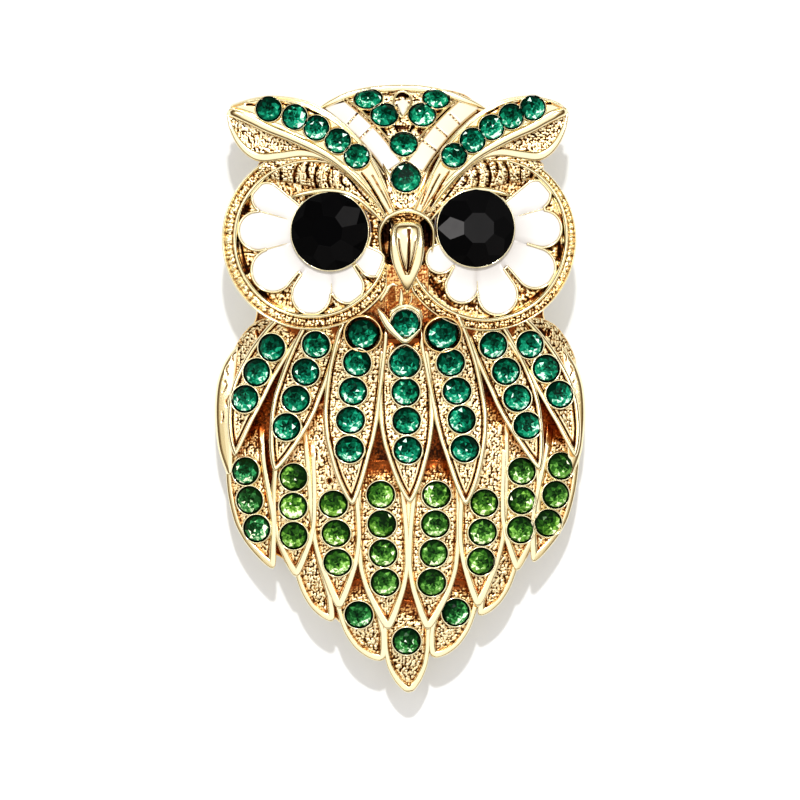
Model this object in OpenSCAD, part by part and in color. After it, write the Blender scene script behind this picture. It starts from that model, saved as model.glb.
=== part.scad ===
// Owl brooch: one domed, hollow-backed casting with feather, brow and face relief, set with faceted
// stones and enamel, and a bar pin in the back. It lies on its back with its face up: +Y to the crown.

/* [Overall] */
// Width across the wings
body_w = 37.2; // [34:0.2:41]
// Length from the crown to the tail tip
body_l = 60.9; // [56:0.5:67]
// Height of the shell at its edge, above the surface that it lies on
edge_h = 3.0; // [2.5:0.1:4]
// Rise of the dome from its edge to the breast
dome_h = 4.2; // [3.6:0.1:5]
// Further rise of the head
head_h = 3.6; // [3.2:0.1:4.2]
// Thickness of the cast shell
wall = 1.3; // [1.1:0.1:1.6]

/* [Feathers] */
// Width of the polished rim of a feather
rim_w = 0.38; // [0.3:0.02:0.5]
// Height of that rim above the feather's floor
rim_h = 0.45; // [0.3:0.05:0.6]
// Height of the breast feathers above the shell at their tips
breast_lift = 2.2; // [1.8:0.1:2.6]
// Height of the skirt feathers above the shell at their tips
skirt_lift = 1.2; // [1:0.1:1.5]
// Height of the tail feathers above the shell
tail_lift = 0.5; // [0.3:0.1:0.8]

/* [Face] */
// Radius of a face disc
disc_r = 9.15; // [8.8:0.05:9.5]
// Outward lean of a face disc
disc_tilt = 9; // [6:0.5:11]
// Height of the floor of a face disc at its middle
face_z = 8.35; // [8:0.05:8.8]
// Width of the rim of a face disc
disc_rim_w = 1.4; // [1.1:0.05:1.6]
// Height of that rim above the floor
disc_rim_h = 0.9; // [0.7:0.05:1.2]
// Height of the brows above the face plane
brow_lift = 1.5; // [1.2:0.1:1.9]
// Thickness of a brow
brow_t = 2.6; // [2.2:0.1:3]
// Height of the beak above the face plane
beak_h = 2.9; // [2.5:0.1:3.3]

/* [Stones] */
// Diameter of an eye stone
eye_d = 7.7; // [7.1:0.1:8.1]
// Height of the eye cup above the floor of the disc
eye_cup_h = 1.1; // [0.8:0.05:1.3]
// Wall of the eye cup
eye_cup_wall = 0.3; // [0.2:0.05:0.4]
// Diameter of a feather stone
stone_d = 2.62; // [2.3:0.02:2.75]
// Space between neighbouring feather stones
stone_space = 0.3; // [0.2:0.05:0.4]
// Diameter of a brow stone
brow_stone_d = 2.2; // [2:0.05:2.3]
// Diameter of a crown stone
crown_stone_d = 2.5; // [2.3:0.05:2.6]
// Clearance all round an eye stone or an enamel fill
gap = 0.05; // [0.03:0.01:0.08]
// Clearance between the back of a feather stone and the floor under it
seat_gap = 0.1; // [0.08:0.01:0.15]

/* [Enamel] */
// Thickness of the enamel
enamel_t = 0.5; // [0.4:0.05:0.7]
// Width of the metal line round a petal
petal_line = 0.3; // [0.2:0.05:0.4]
// Width of the metal line beside a brow stripe, and between its cells
stripe_line = 0.16; // [0.12:0.02:0.24]

/* [Bar pin] */
// Length of the bar
bar_l = 21; // [19:0.5:22]
// Width of the bar
bar_w = 4; // [3:0.5:5]
// Thickness of the bar
bar_t = 0.8; // [0.6:0.1:1]
// Height of the top of the bar above the surface that the brooch lies on
bar_z = 4.7; // [4.5:0.1:4.8]
// Diameter of the pin wire
wire_d = 0.9; // [0.7:0.1:1.1]
// Height of the pin wire's middle above that surface
wire_z = 1.25; // [1.1:0.05:1.5]

/* [Hidden] */

half_w = body_w / 2;
half_l = body_l / 2;
stone_sides = 8;
// How far pieces of the casting run into each other, so that no two faces coincide.
lap = 0.1;
pitch = stone_d + stone_space;
brow_pitch = brow_stone_d + 0.75 * stone_space;
root_depth = 0.5 * wall;

// Places on the brooch are shares of its half width and half length, from the middle of its box.
function at(share) = [share.x * half_w, share.y * half_l];

// The shell: a shallow dome over the whole brooch and a second one under the head.
dome_x = 1.022 * half_w;
dome_y = 1.06 * half_l;
head_x = 1.3 * half_w;
head_y = 0.62 * half_l;
head_at = 0.525 * half_l;
function square_of(x) = x * x;
function dome_z(p) = dome_h * max(0, 1 - square_of(p.x / dome_x) - square_of(p.y / dome_y));
function head_z(p) = head_h * square_of(max(0, 1 - square_of(p.x / head_x) - square_of((p.y - head_at) / head_y)));
function shell_z(p) = edge_h + dome_z(p) + head_z(p);

// The face plane: the two discs lean outwards from the middle of the face.
disc_at = [[-0.468, 0.491], [0.457, 0.488]];
eye_at = [[-0.368, 0.515], [0.398, 0.526]];
face_mid = 0.011 * half_w;
disc_x = 0.462 * half_w;
function face_plane(p) = face_z - tan(disc_tilt) * (abs(p.x - face_mid) - disc_x);

// The outline of the shell, right half, from the crown to the tail, just inside the feather tips.
half_outline = [
    [0, 0.98], [0.2, 0.968], [0.39, 0.932], [0.57, 0.878], [0.72, 0.79], [0.79, 0.7],
    [0.86, 0.64], [0.91, 0.56], [0.925, 0.48], [0.9, 0.39], [0.845, 0.31], [0.775, 0.262],
    [0.8, 0.2], [0.88, 0.13], [0.94, 0.05], [0.965, -0.04], [0.96, -0.14], [0.935, -0.25],
    [0.89, -0.36], [0.83, -0.45], [0.75, -0.52], [0.63, -0.56], [0.54, -0.62], [0.48, -0.69],
    [0.36, -0.75], [0.25, -0.81], [0.15, -0.87], [0.07, -0.92], [0.03, -0.95]
];
module shell_outline() {
    right = [for (share = half_outline) at(share)];
    left = [for (i = [len(right) - 1:-1:1]) [-right[i].x, right[i].y]];
    polygon(concat(right, left));
}

// What lies under the dome, lowered by drop, as a grid of heights over the whole brooch.
grid_x = 8;
grid_y = 14;
deep = 2;
module under_dome(drop, head_share) {
    function corner(i, j) = [(2 * i / grid_x - 1) * 1.05 * half_w, (2 * j / grid_y - 1) * 1.05 * half_l];
    function top(p) = edge_h + dome_z(p) + head_share * head_z(p) - drop;
    row = grid_x + 1;
    count = row * (grid_y + 1);
    tops = [for (j = [0:grid_y], i = [0:grid_x]) let (p = corner(i, j)) fine([p.x, p.y, top(p)])];
    floors = [for (p = tops) [p.x, p.y, -deep]];
    up = [for (j = [0:grid_y - 1], i = [0:grid_x - 1]) each let (a = j * row + i)
        [[a, a + row, a + 1], [a + 1, a + row, a + row + 1]]];
    down = [for (f = up) [f[2] + count, f[1] + count, f[0] + count]];
    ring = concat(
        [for (i = [0:grid_x - 1]) i], [for (j = [0:grid_y - 1]) j * row + grid_x],
        [for (i = [grid_x:-1:1]) grid_y * row + i], [for (j = [grid_y:-1:1]) j * row]
    );
    sides = [for (i = [0:len(ring) - 1]) each let (a = ring[i], b = ring[(i + 1) % len(ring)])
        [[a, b, a + count], [b, b + count, a + count]]];
    polyhedron(concat(tops, floors), concat(up, down, sides), convexity = 8);
}

// A solid through loops of points, each loop a section of the same shape.
module loft(loops) {
    n = len(loops[0]);
    last = len(loops) - 1;
    sides = [for (i = [0:last - 1], j = [0:n - 1]) each
        let (a = i * n + j, b = i * n + (j + 1) % n)
        [[a, a + n, b], [b, a + n, b + n]]];
    near = [for (j = [0:n - 1]) j];
    far = [for (j = [n - 1:-1:0]) last * n + j];
    polyhedron([for (loop = loops) each loop], concat([near], sides, [far]), convexity = 8);
}

// A leaf is a row of a table: its root, bend and tip as places, its half width as a share of the
// half width of the brooch, how many stones it holds and how far the last one is from the tip, as a
// share of the leaf's length.
ROOT = 0;
BEND = 1;
TIP = 2;
HALF = 3;
STONES = 4;
LAST = 5;
breast = [
    [[-0.575, 0.218], [-0.871, 0.018], [-0.887, -0.222], 0.092, 3, 0.39],
    [[-0.398, 0.218], [-0.571, -0.036], [-0.675, -0.271], 0.116, 4, 0.29],
    [[-0.177, 0.232], [-0.305, -0.072], [-0.255, -0.383], 0.142, 5, 0.295],
    [[0.022, 0.166], [0.032, -0.102], [0.054, -0.376], 0.138, 4, 0.32],
    [[0.199, 0.232], [0.369, -0.072], [0.353, -0.383], 0.136, 5, 0.296],
    [[0.43, 0.218], [0.634, 0.002], [0.753, -0.268], 0.112, 4, 0.29],
    [[0.585, 0.222], [0.897, 0.02], [0.944, -0.225], 0.09, 3, 0.42]
];
skirt = [
    [[-0.828, -0.136], [-0.862, -0.372], [-0.68, -0.592], 0.104, 3, 0.303],
    [[-0.559, -0.136], [-0.581, -0.388], [-0.559, -0.619], 0.102, 3, 0.282],
    [[-0.419, -0.103], [-0.325, -0.417], [-0.328, -0.724], 0.114, 3, 0.246],
    [[-0.108, -0.235], [-0.098, -0.514], [-0.062, -0.793], 0.118, 4, 0.282],
    [[0.199, -0.235], [0.192, -0.514], [0.148, -0.793], 0.118, 4, 0.282],
    [[0.478, -0.11], [0.444, -0.417], [0.419, -0.718], 0.11, 3, 0.248],
    [[0.64, -0.136], [0.667, -0.365], [0.629, -0.599], 0.092, 3, 0.293],
    [[0.885, -0.136], [0.872, -0.353], [0.715, -0.57], 0.092, 3, 0.305]
];
tail = [
    [[-0.51, -0.498], [-0.5, -0.647], [-0.36, -0.764], 0.08, 0, 0],
    [[-0.258, -0.629], [-0.253, -0.773], [-0.097, -0.892], 0.102, 1, 0.6],
    [[0.34, -0.629], [0.325, -0.765], [0.183, -0.882], 0.098, 1, 0.61],
    [[0.585, -0.498], [0.575, -0.639], [0.435, -0.745], 0.078, 0, 0],
    [[0.043, -0.695], [0.039, -0.836], [0.051, -1], 0.13, 1, 0.564]
];
wings = [
    [[-0.75, 0.232], [-1.035, 0.02], [-0.935, -0.285], 0.056, 0, 0],
    [[0.755, 0.232], [1.03, 0.01], [0.935, -0.285], 0.056, 0, 0]
];
brows = [
    [[-0.048, 0.573], [-0.345, 0.945], [-0.915, 0.922], 0.1, 5, 0.225],
    [[0.091, 0.573], [0.45, 0.953], [0.88, 0.918], 0.1, 5, 0.195]
];
ear_lobes = [
    [[-0.36, 0.77], [-0.75, 0.775], [-0.91, 0.905], 0.105, 0, 0],
    [[0.38, 0.765], [0.75, 0.775], [0.876, 0.903], 0.105, 0, 0]
];
lashes = [
    [[-0.06, 0.547], [-0.414, 0.773], [-0.765, 0.715], 0.088, 0, 0],
    [[0.1, 0.547], [0.449, 0.773], [0.77, 0.715], 0.088, 0, 0]
];
stripes = [
    [[-0.02, 0.71], [-0.16, 0.847], [-0.37, 0.938], 0.054, 0, 0],
    [[0.065, 0.71], [0.204, 0.854], [0.387, 0.938], 0.054, 0, 0]
];
crown = [[0.02, 1.0], [0.02, 0.85], [0.03, 0.68], 0.44, 0, 0];
throat = [[0.03, 0.275], [0.03, 0.22], [0.027, 0.158], 0.094, 1, 0.5];

// The half width of a leaf from root to tip, as rows of [share of its length, share of its half width].
feather_form = [[0, 0.72], [0.16, 0.88], [0.34, 0.98], [0.5, 1], [0.66, 0.88], [0.8, 0.62], [0.91, 0.34], [1, 0.06]];
tail_form = [[0, 0.9], [0.25, 1], [0.5, 0.95], [0.7, 0.76], [0.87, 0.44], [1, 0.07]];
wing_form = [[0, 0.6], [0.2, 0.95], [0.5, 1], [0.8, 0.85], [1, 0.3]];
brow_form = [[0, 0.3], [0.2, 0.6], [0.4, 0.95], [0.6, 1], [0.8, 0.75], [1, 0.12]];
lobe_form = [[0, 0.15], [0.25, 0.5], [0.6, 1], [0.8, 0.7], [1, 0.12]];
lash_form = [[0, 0.3], [0.25, 0.6], [0.6, 1], [0.8, 0.95], [1, 0.35]];
crown_form = [[0, 0.3], [0.05, 0.62], [0.12, 0.84], [0.22, 0.9], [0.36, 0.76], [0.56, 0.5], [0.78, 0.26], [1, 0.05]];
drop_form = [[0, 0.4], [0.18, 0.9], [0.4, 1], [0.7, 0.7], [1, 0.1]];
band_form = [[0, 1], [0.25, 1], [0.5, 1], [0.75, 1], [1, 1]];

function bezier(a, b, c, t) = square_of(1 - t) * a + 2 * t * (1 - t) * b + square_of(t) * c;
function axis_at(leaf, t) = bezier(at(leaf[ROOT]), at(leaf[BEND]), at(leaf[TIP]), t);
function side_at(leaf, t) =
    let (d = axis_at(leaf, t + 0.01) - axis_at(leaf, t - 0.01))
    [-d.y, d.x] / norm(d);
// Corners of lofts are kept to a thousandth of a millimetre, so that faces meant to be flat stay flat.
function fine(v) = [for (x = v) round(1000 * x) / 1000];
function at_height(p, z) = fine([p.x, p.y, z]);

// A leaf between two heights above a base surface, with a rim round a lower floor.
// base gives the height of what the leaf follows, lift how far above it the floor lies at t, and
// sink how far below it the leaf ends.
module leaf(row, form, base, lift, rim, rim_up, sink) {
    loft([for (station = form) let (
        t = station[0],
        half = station[1] * row[HALF] * half_w,
        edge = min(rim, 0.45 * half),
        middle = axis_at(row, t),
        side = side_at(row, t)
    ) [for (corner = [
        [-half, -sink], [half, -sink], [half, lift(t) + rim_up], [half - edge, lift(t) + rim_up],
        [half - 1.3 * edge, lift(t)], [-half + 1.3 * edge, lift(t)], [-half + edge, lift(t) + rim_up],
        [-half, lift(t) + rim_up]
    ]) let (p = middle + corner[0] * side) at_height(p, base(p) + corner[1])]]);
}

// Places of the stones of a leaf, from the tip inwards, walked along its axis.
walk_steps = 24;
function walk(row) = [for (i = [walk_steps:-1:0]) axis_at(row, i / walk_steps)];
function length_of(line, i = 0) = i >= len(line) - 1 ? 0 : norm(line[i + 1] - line[i]) + length_of(line, i + 1);
function along(line, distance, i = 0) =
    let (step = norm(line[i + 1] - line[i]))
    distance <= step || i >= len(line) - 2
        ? line[i] + (line[i + 1] - line[i]) * distance / step
        : along(line, distance - step, i + 1);
function stone_places(row, spacing) =
    let (line = walk(row), first = row[LAST] * length_of(line))
    [for (k = [0:1:row[STONES] - 1]) along(line, first + k * spacing)];

// Puts its children at p, raised by lift above a base surface and square to that surface, of which
// climb is a further slope.
nudge = 0.2;
module seated(p, base, lift, climb = [0, 0]) {
    lean_x = (base(p + [nudge, 0]) - base(p - [nudge, 0])) / (2 * nudge) + climb.x;
    lean_y = (base(p + [0, nudge]) - base(p - [0, nudge])) / (2 * nudge) + climb.y;
    translate([p.x, p.y, base(p) + lift])
        rotate([0, atan(norm([lean_x, lean_y])), atan2(-lean_y, -lean_x)])
            children();
}

// A flat-backed stone with a table, a ring of crown facets and a girdle, standing on zero.
// All its heights follow its diameter.
table_share = 0.55;
crown_share = 0.2;
girdle_share = 0.14;
function ring_of(r, z, n) = [for (i = [0:n - 1]) let (a = 360 * i / n) [r * cos(a), r * sin(a), z]];
module cut_stone(d) {
    n = stone_sides;
    points = concat(
        ring_of(table_share * d / 2, (crown_share + girdle_share) * d, n),
        ring_of(d / 2, girdle_share * d, n), ring_of(d / 2, 0, n)
    );
    table = [for (i = [n - 1:-1:0]) i];
    bands = [for (level = [0, 1], i = [0:n - 1]) let (a = level * n + i, b = level * n + (i + 1) % n)
        [a, b, b + n, a + n]];
    back = [for (i = [0:n - 1]) 2 * n + i];
    polyhedron(points, concat([table], bands, [back]), convexity = 2);
}

// The room that a stone needs above the floor that it stands on, cut out of the rims beside it.
module stone_room(d) {
    translate([0, 0, -0.4 * seat_gap])
        cylinder(r = d / 2 + gap / cos(180 / stone_sides), h = 0.7 * d, $fn = stone_sides);
}

// An eye stone: an octagonal table, eight wide main facets that end on ridge points, and sixteen
// small facets from those to the girdle.
eye_table = 0.42;
eye_ridge = 0.76;
eye_crown = 0.22;
eye_back = 0.28;
module eye_stone() {
    r = eye_d / 2;
    rise = eye_crown * eye_d;
    slope = rise / (r - eye_table * r * cos(22.5));
    ridge_z = rise - slope * (eye_ridge - eye_table) * r * cos(22.5);
    points = concat(
        ring_of(eye_table * r, rise, 8), ring_of(eye_ridge * r, ridge_z, 8),
        ring_of(r, 0, 16), ring_of(r, -0.05 * r, 16), [[0, 0, -eye_back * eye_d]]
    );
    table = [for (i = [7:-1:0]) i];
    mains = [for (i = [0:7]) let (j = (i + 1) % 8) [i, j, 8 + j, 16 + 2 * i + 1, 8 + i]];
    smalls = [for (i = [0:7]) each let (g = 16 + 2 * i, before = 16 + (2 * i + 15) % 16)
        [[8 + i, g + 1, g], [8 + i, g, before]]];
    girdle = [for (i = [0:15]) let (j = (i + 1) % 16) [16 + i, 16 + j, 32 + j, 32 + i]];
    back = [for (i = [0:15]) [32 + i, 32 + (i + 1) % 16, 48]];
    polyhedron(points, concat([table], mains, smalls, girdle, back), convexity = 2);
}

// Puts its children in the frame of a face disc, whose floor is the plane z = 0.
module on_disc(side) {
    centre = at(disc_at[side]);
    translate([centre.x, centre.y, face_plane(centre)])
        rotate([0, side == 0 ? -disc_tilt : disc_tilt, 0])
            children();
}
function eye_on_disc(side) = at(eye_at[side]) - at(disc_at[side]);

// The six petals of a disc: direction from the eye, reach and end radius, the last two in shares of
// the disc's radius.
petal_rows = [
    [[150, 0.86, 0.16], [177, 0.89, 0.19], [213, 0.86, 0.21], [252, 0.79, 0.21], [288, 0.65, 0.175], [327, 0.58, 0.15]],
    [[27, 0.78, 0.165], [0, 0.82, 0.195], [-33, 0.86, 0.21], [-68, 0.86, 0.21], [-100, 0.67, 0.175], [-140, 0.52, 0.15]]
];
dish_r = disc_r - disc_rim_w;
disc_sides = 36;
cup_r = eye_d / 2 + eye_cup_wall;
disc_t = 2.3;
module flower(side, grow) {
    eye = eye_on_disc(side);
    intersection() {
        union() {
            for (petal = petal_rows[side])
                hull() {
                    translate(eye) circle(r = 0.14 * disc_r + grow, $fn = 6);
                    translate(eye + disc_r * petal[1] * [cos(petal[0]), sin(petal[0])])
                        circle(r = disc_r * petal[2] + grow, $fn = 14);
                }
            translate(eye) circle(r = cup_r + 0.3 + grow, $fn = 16);
        }
        circle(r = dish_r - petal_line + 1.4 * grow, $fn = disc_sides);
    }
}
module petals(side) {
    color("white") on_disc(side) linear_extrude(enamel_t)
        difference() {
            flower(side, 0);
            translate(eye_on_disc(side)) circle(r = cup_r + gap, $fn = 24);
        }
}

// The rim of a disc: an outer lip, a lower band for the grains and an inner line.
module disc_rim() {
    lip = 0.3 * disc_rim_w;
    rotate_extrude($fn = disc_sides)
        polygon([
            [dish_r, lap - disc_t], [disc_r, lap - disc_t], [disc_r, disc_rim_h], [disc_r - lip, disc_rim_h],
            [dish_r + lip, 0.75 * disc_rim_h], [dish_r, disc_rim_h]
        ]);
}
module disc(side) {
    on_disc(side) {
        translate([0, 0, -disc_t]) cylinder(r = disc_r - lap, h = disc_t, $fn = disc_sides);
        disc_rim();
        translate([0, 0, -2 * lap]) linear_extrude(enamel_t + 3 * lap) flower(side, petal_line);
        translate(concat(eye_on_disc(side), -3 * lap)) cylinder(r = cup_r, h = eye_cup_h + 3 * lap, $fn = 24);
    }
}
module disc_cuts(side) {
    on_disc(side) {
        translate([0, 0, -gap]) linear_extrude(3 * enamel_t)
            difference() {
                flower(side, gap);
                translate(eye_on_disc(side)) circle(r = cup_r - 0.3 * lap, $fn = 24);
            }
        translate(concat(eye_on_disc(side), eye_cup_h - eye_back * eye_d - gap))
            cylinder(r = eye_d / 2 + gap, h = eye_d, $fn = 16);
    }
}
module dish(side) {
    on_disc(side) cylinder(r = dish_r + 0.5 * lap, h = 6, $fn = disc_sides);
}

// The beak: a hooded shield between the discs, with a polished drop standing on it.
beak_top = [0.035, 0.572];
beak_tip = [0.037, 0.304];
beak_w = 3;
hood_w = 4.6;
module beak() {
    top = at(beak_top);
    tip = at(beak_tip);
    z = face_plane(top);
    hull() {
        translate([top.x, top.y - 1, z - 2]) cylinder(d = beak_w + 0.8, h = 2.2 + 0.35 * beak_h, $fn = 12);
        translate([top.x, top.y - 3.6, z - 2]) cylinder(d = beak_w, h = 2.2 + 0.3 * beak_h, $fn = 12);
        translate([tip.x, tip.y + 0.3, z - 2]) cylinder(d = 0.5, h = 2.1, $fn = 8);
    }
    hull() {
        for (x = [-1, 1]) translate([top.x + x * hood_w / 2, top.y - 1.6, z - 0.5]) sphere(r = 0.35, $fn = 8);
        translate([top.x, top.y - 0.3, z + 0.2]) sphere(r = 0.5, $fn = 10);
        translate([top.x, top.y - 1.2, z + 0.45 * beak_h]) sphere(r = 0.5, $fn = 10);
    }
    hull() {
        translate([top.x, top.y - 1.9, z]) cylinder(d1 = 0.8 * beak_w, d2 = 0.4 * beak_w, h = beak_h - 0.5, $fn = 14);
        translate([top.x, top.y - 2, z + beak_h - 0.6]) sphere(r = 0.6, $fn = 12);
        translate([tip.x, tip.y + 2.2, z + 0.1]) sphere(r = 0.3, $fn = 8);
    }
}

// Enamel cells of a brow stripe, as pieces of the stripe between two shares of its length.
cells = [[0.05, 0.34], [0.34, 0.56], [0.56, 0.78], [0.78, 0.98]];
stripe_up = 1.75;
module cell(row, from, to, grow, up) {
    half = row[HALF] * half_w - stripe_line + grow;
    loft([for (k = [0:3]) let (
        t = from + (to - from) * k / 3 + (k == 0 ? -grow : k == 3 ? grow : 0) / length_of(walk(row)),
        middle = axis_at(row, t),
        side = side_at(row, t)
    ) [for (corner = [[-half, -enamel_t - grow], [half, -enamel_t - grow], [half, up], [-half, up]])
        let (p = middle + corner[0] * side) at_height(p, shell_z(p) + stripe_up + corner[1])]]);
}
module stripe_cells(side, grow, up) {
    length = length_of(walk(stripes[side]));
    line = stripe_line / 2 / length;
    for (span = cells) cell(stripes[side], span[0] + line, span[1] - line, grow, up);
}

// Crown stones, and the enamel drop above them.
crown_at = [[-0.169, 0.952], [-0.084, 0.896], [0.195, 0.955], [0.118, 0.893], [0.02, 0.798], [0.032, 0.685]];
drop_at = [0.016, 0.932];
crown_up = 1.6;

// What the leaves follow, and how far above it they lie from root to tip.
shell_base = function (p) shell_z(p);
face_base = function (p) face_plane(p);
breast_rise = function (t) breast_lift * (0.4 + 0.6 * t);
skirt_rise = function (t) skirt_lift * (0.4 + 0.6 * t);
tail_rise = function (t) tail_lift;
brow_rise = function (t) brow_lift;
lobe_rise = function (t) 0.7 * brow_lift;
lash_rise = function (t) 0.4 * brow_lift;
throat_rise = function (t) 0.6 * breast_lift;
crown_rise = function (t) crown_up;
stripe_rise = function (t) stripe_up;

// Stones of a table of leaves, or the room for them, each on the leaf's floor and square to it.
module stones_of(rows, base, rise, d, spacing, room = false) {
    for (row = rows) {
        length = length_of(walk(row));
        places = stone_places(row, spacing);
        for (k = [0:1:row[STONES] - 1]) {
            t = 1 - row[LAST] - k * spacing / length;
            climb = (rise(t + 0.05) - rise(t - 0.05)) / (0.1 * length);
            way = axis_at(row, t + 0.05) - axis_at(row, t - 0.05);
            seated(places[k], base, rise(t) + seat_gap, climb * way / norm(way))
                if (room) stone_room(d);
                else cut_stone(d);
        }
    }
}
module crown_set(room = false) {
    for (share = crown_at)
        seated(at(share), shell_base, crown_up + seat_gap)
            if (room) stone_room(crown_stone_d);
            else cut_stone(crown_stone_d);
}
module drop_form_2d(grow) {
    hull() {
        circle(r = 0.55 + grow, $fn = 16);
        translate([0, -1]) circle(r = 0.12 + grow, $fn = 8);
    }
}

// The bar pin, one plain piece: a bar, a hinge block, a wire and a catch.
pin_y = 0.26 * half_l;
block_w = 2.2;
module bar_pin() {
    color("gold") {
        translate([-bar_l / 2, pin_y - bar_w / 2, bar_z - bar_t]) cube([bar_l, bar_w, bar_t]);
        translate([-bar_l / 2, pin_y - block_w / 2, wire_z - wire_d])
            cube([block_w, block_w, bar_z - bar_t - wire_z + wire_d]);
        difference() {
            translate([bar_l / 2 - block_w, pin_y - block_w / 2, wire_z - wire_d])
                cube([block_w, block_w, bar_z - bar_t - wire_z + wire_d]);
            translate([bar_l / 2 - 0.7 * block_w, pin_y - block_w, wire_z + wire_d / 2 + 0.1])
                cube([block_w, 2 * block_w, bar_z - bar_t - wire_z - wire_d]);
        }
        translate([-bar_l / 2 + block_w / 2, pin_y, wire_z]) rotate([0, 90, 0])
            cylinder(d = wire_d, h = bar_l - block_w, $fn = 24);
    }
}
// Two pads in the hollow, on which the bar is fixed.
pad_x = 0.34 * bar_l;
pad_r = 1.6;
module pads() {
    for (x = [-pad_x, pad_x])
        translate([x, pin_y, bar_z + gap]) cylinder(r = pad_r, h = 2.6, $fn = 20);
}

module shell() {
    intersection() {
        linear_extrude(4 * edge_h + dome_h) shell_outline();
        under_dome(0, 1);
    }
}
module hollow() {
    intersection() {
        translate([0, 0, -1]) linear_extrude(4 * edge_h + dome_h) offset(delta = -wall) shell_outline();
        under_dome(wall, 0.85);
    }
}
module relief() {
    for (row = tail) leaf(row, tail_form, shell_base, tail_rise, rim_w, rim_h, root_depth);
    for (row = skirt) leaf(row, feather_form, shell_base, skirt_rise, rim_w, rim_h, root_depth);
    for (row = wings) leaf(row, wing_form, shell_base, skirt_rise, rim_w, 0, root_depth);
    for (row = breast) leaf(row, feather_form, shell_base, breast_rise, rim_w, rim_h, root_depth);
    leaf(throat, drop_form, shell_base, throat_rise, rim_w, rim_h, root_depth);
    leaf(crown, crown_form, shell_base, crown_rise, rim_w, 0.2, root_depth);
    for (row = stripes) leaf(row, band_form, shell_base, stripe_rise, stripe_line, 0, root_depth);
    for (row = lashes) leaf(row, lash_form, face_base, lash_rise, rim_w, 0.2, 1.2);
    for (row = ear_lobes) leaf(row, lobe_form, face_base, lobe_rise, rim_w, rim_h, brow_t - brow_lift);
    for (row = brows) leaf(row, brow_form, face_base, brow_rise, rim_w, rim_h, brow_t - brow_lift);
    beak();
}
module casting() {
    color("gold") {
        difference() {
            union() {
                difference() {
                    shell();
                    for (side = [0, 1]) dish(side);
                }
                for (side = [0, 1]) disc(side);
                relief();
            }
            hollow();
            for (side = [0, 1]) {
                disc_cuts(side);
                stripe_cells(side, gap, 1);
                stones_of([brows[side]], face_base, brow_rise, brow_stone_d, brow_pitch, true);
            }
            stones_of(breast, shell_base, breast_rise, stone_d, pitch, true);
            stones_of([throat], shell_base, throat_rise, stone_d, pitch, true);
            stones_of(skirt, shell_base, skirt_rise, stone_d, pitch, true);
            stones_of(tail, shell_base, tail_rise, stone_d, pitch, true);
            crown_set(true);
        }
        pads();
    }
}

module eye(side) {
    color([0.05, 0.05, 0.05]) on_disc(side) translate(concat(eye_on_disc(side), eye_cup_h)) eye_stone();
}
module stripe(side) {
    color("ivory") stripe_cells(side, 0, 0);
}
module crown_stones() {
    color("seagreen") crown_set();
}
module crown_drop() {
    color("ivory") seated(at(drop_at), shell_base, crown_up + seat_gap)
        linear_extrude(enamel_t) drop_form_2d(0);
}
module brow_stones(side) {
    color("seagreen") stones_of([brows[side]], face_base, brow_rise, brow_stone_d, brow_pitch);
}
module breast_stones() {
    color("seagreen") {
        stones_of(breast, shell_base, breast_rise, stone_d, pitch);
        stones_of([throat], shell_base, throat_rise, stone_d, pitch);
    }
}
module skirt_stones() {
    color("yellowgreen") stones_of(skirt, shell_base, skirt_rise, stone_d, pitch);
}
module tail_stones() {
    color("green") stones_of(tail, shell_base, tail_rise, stone_d, pitch);
}

casting();
bar_pin();
eye(0);  // eye_stone_left
eye(1);  // eye_stone_right
petals(0);  // petals_left
petals(1);  // petals_right
stripe(0);  // stripe_left
stripe(1);  // stripe_right
crown_drop();
crown_stones();
brow_stones(0);  // brow_stones_left
brow_stones(1);  // brow_stones_right
breast_stones();
skirt_stones();
tail_stones();
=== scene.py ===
import logging
import math
from dataclasses import dataclass, field, replace
from enum import Enum
from typing import Callable, Sequence

import bpy
import numpy as np
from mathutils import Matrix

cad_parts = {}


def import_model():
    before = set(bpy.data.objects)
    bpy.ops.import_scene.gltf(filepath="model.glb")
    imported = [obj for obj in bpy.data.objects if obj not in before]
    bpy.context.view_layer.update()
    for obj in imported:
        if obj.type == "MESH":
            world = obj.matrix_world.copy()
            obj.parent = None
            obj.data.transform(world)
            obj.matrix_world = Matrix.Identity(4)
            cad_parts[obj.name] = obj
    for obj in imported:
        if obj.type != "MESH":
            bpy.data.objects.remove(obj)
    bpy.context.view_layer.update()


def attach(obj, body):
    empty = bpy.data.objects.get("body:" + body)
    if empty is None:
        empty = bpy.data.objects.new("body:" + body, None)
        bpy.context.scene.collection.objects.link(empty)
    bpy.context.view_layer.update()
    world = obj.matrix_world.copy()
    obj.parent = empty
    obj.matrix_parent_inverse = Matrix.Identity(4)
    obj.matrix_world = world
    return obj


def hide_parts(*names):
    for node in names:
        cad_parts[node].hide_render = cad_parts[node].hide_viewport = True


# The looks of an owl brooch: a gilt casting with feather relief, cut glass stones, enamel and a bar pin. All sizes
# are in millimetres until a mesh is made. X runs across the wings, Y to the crown and Z up from the surface on which
# the brooch lies.

LOG = logging.getLogger("owl_brooch")
Array = np.ndarray
Height = Callable[[Array, Array], Array]
Colour = tuple[float, float, float]
MM = 0.001
BODY = "root"

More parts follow.
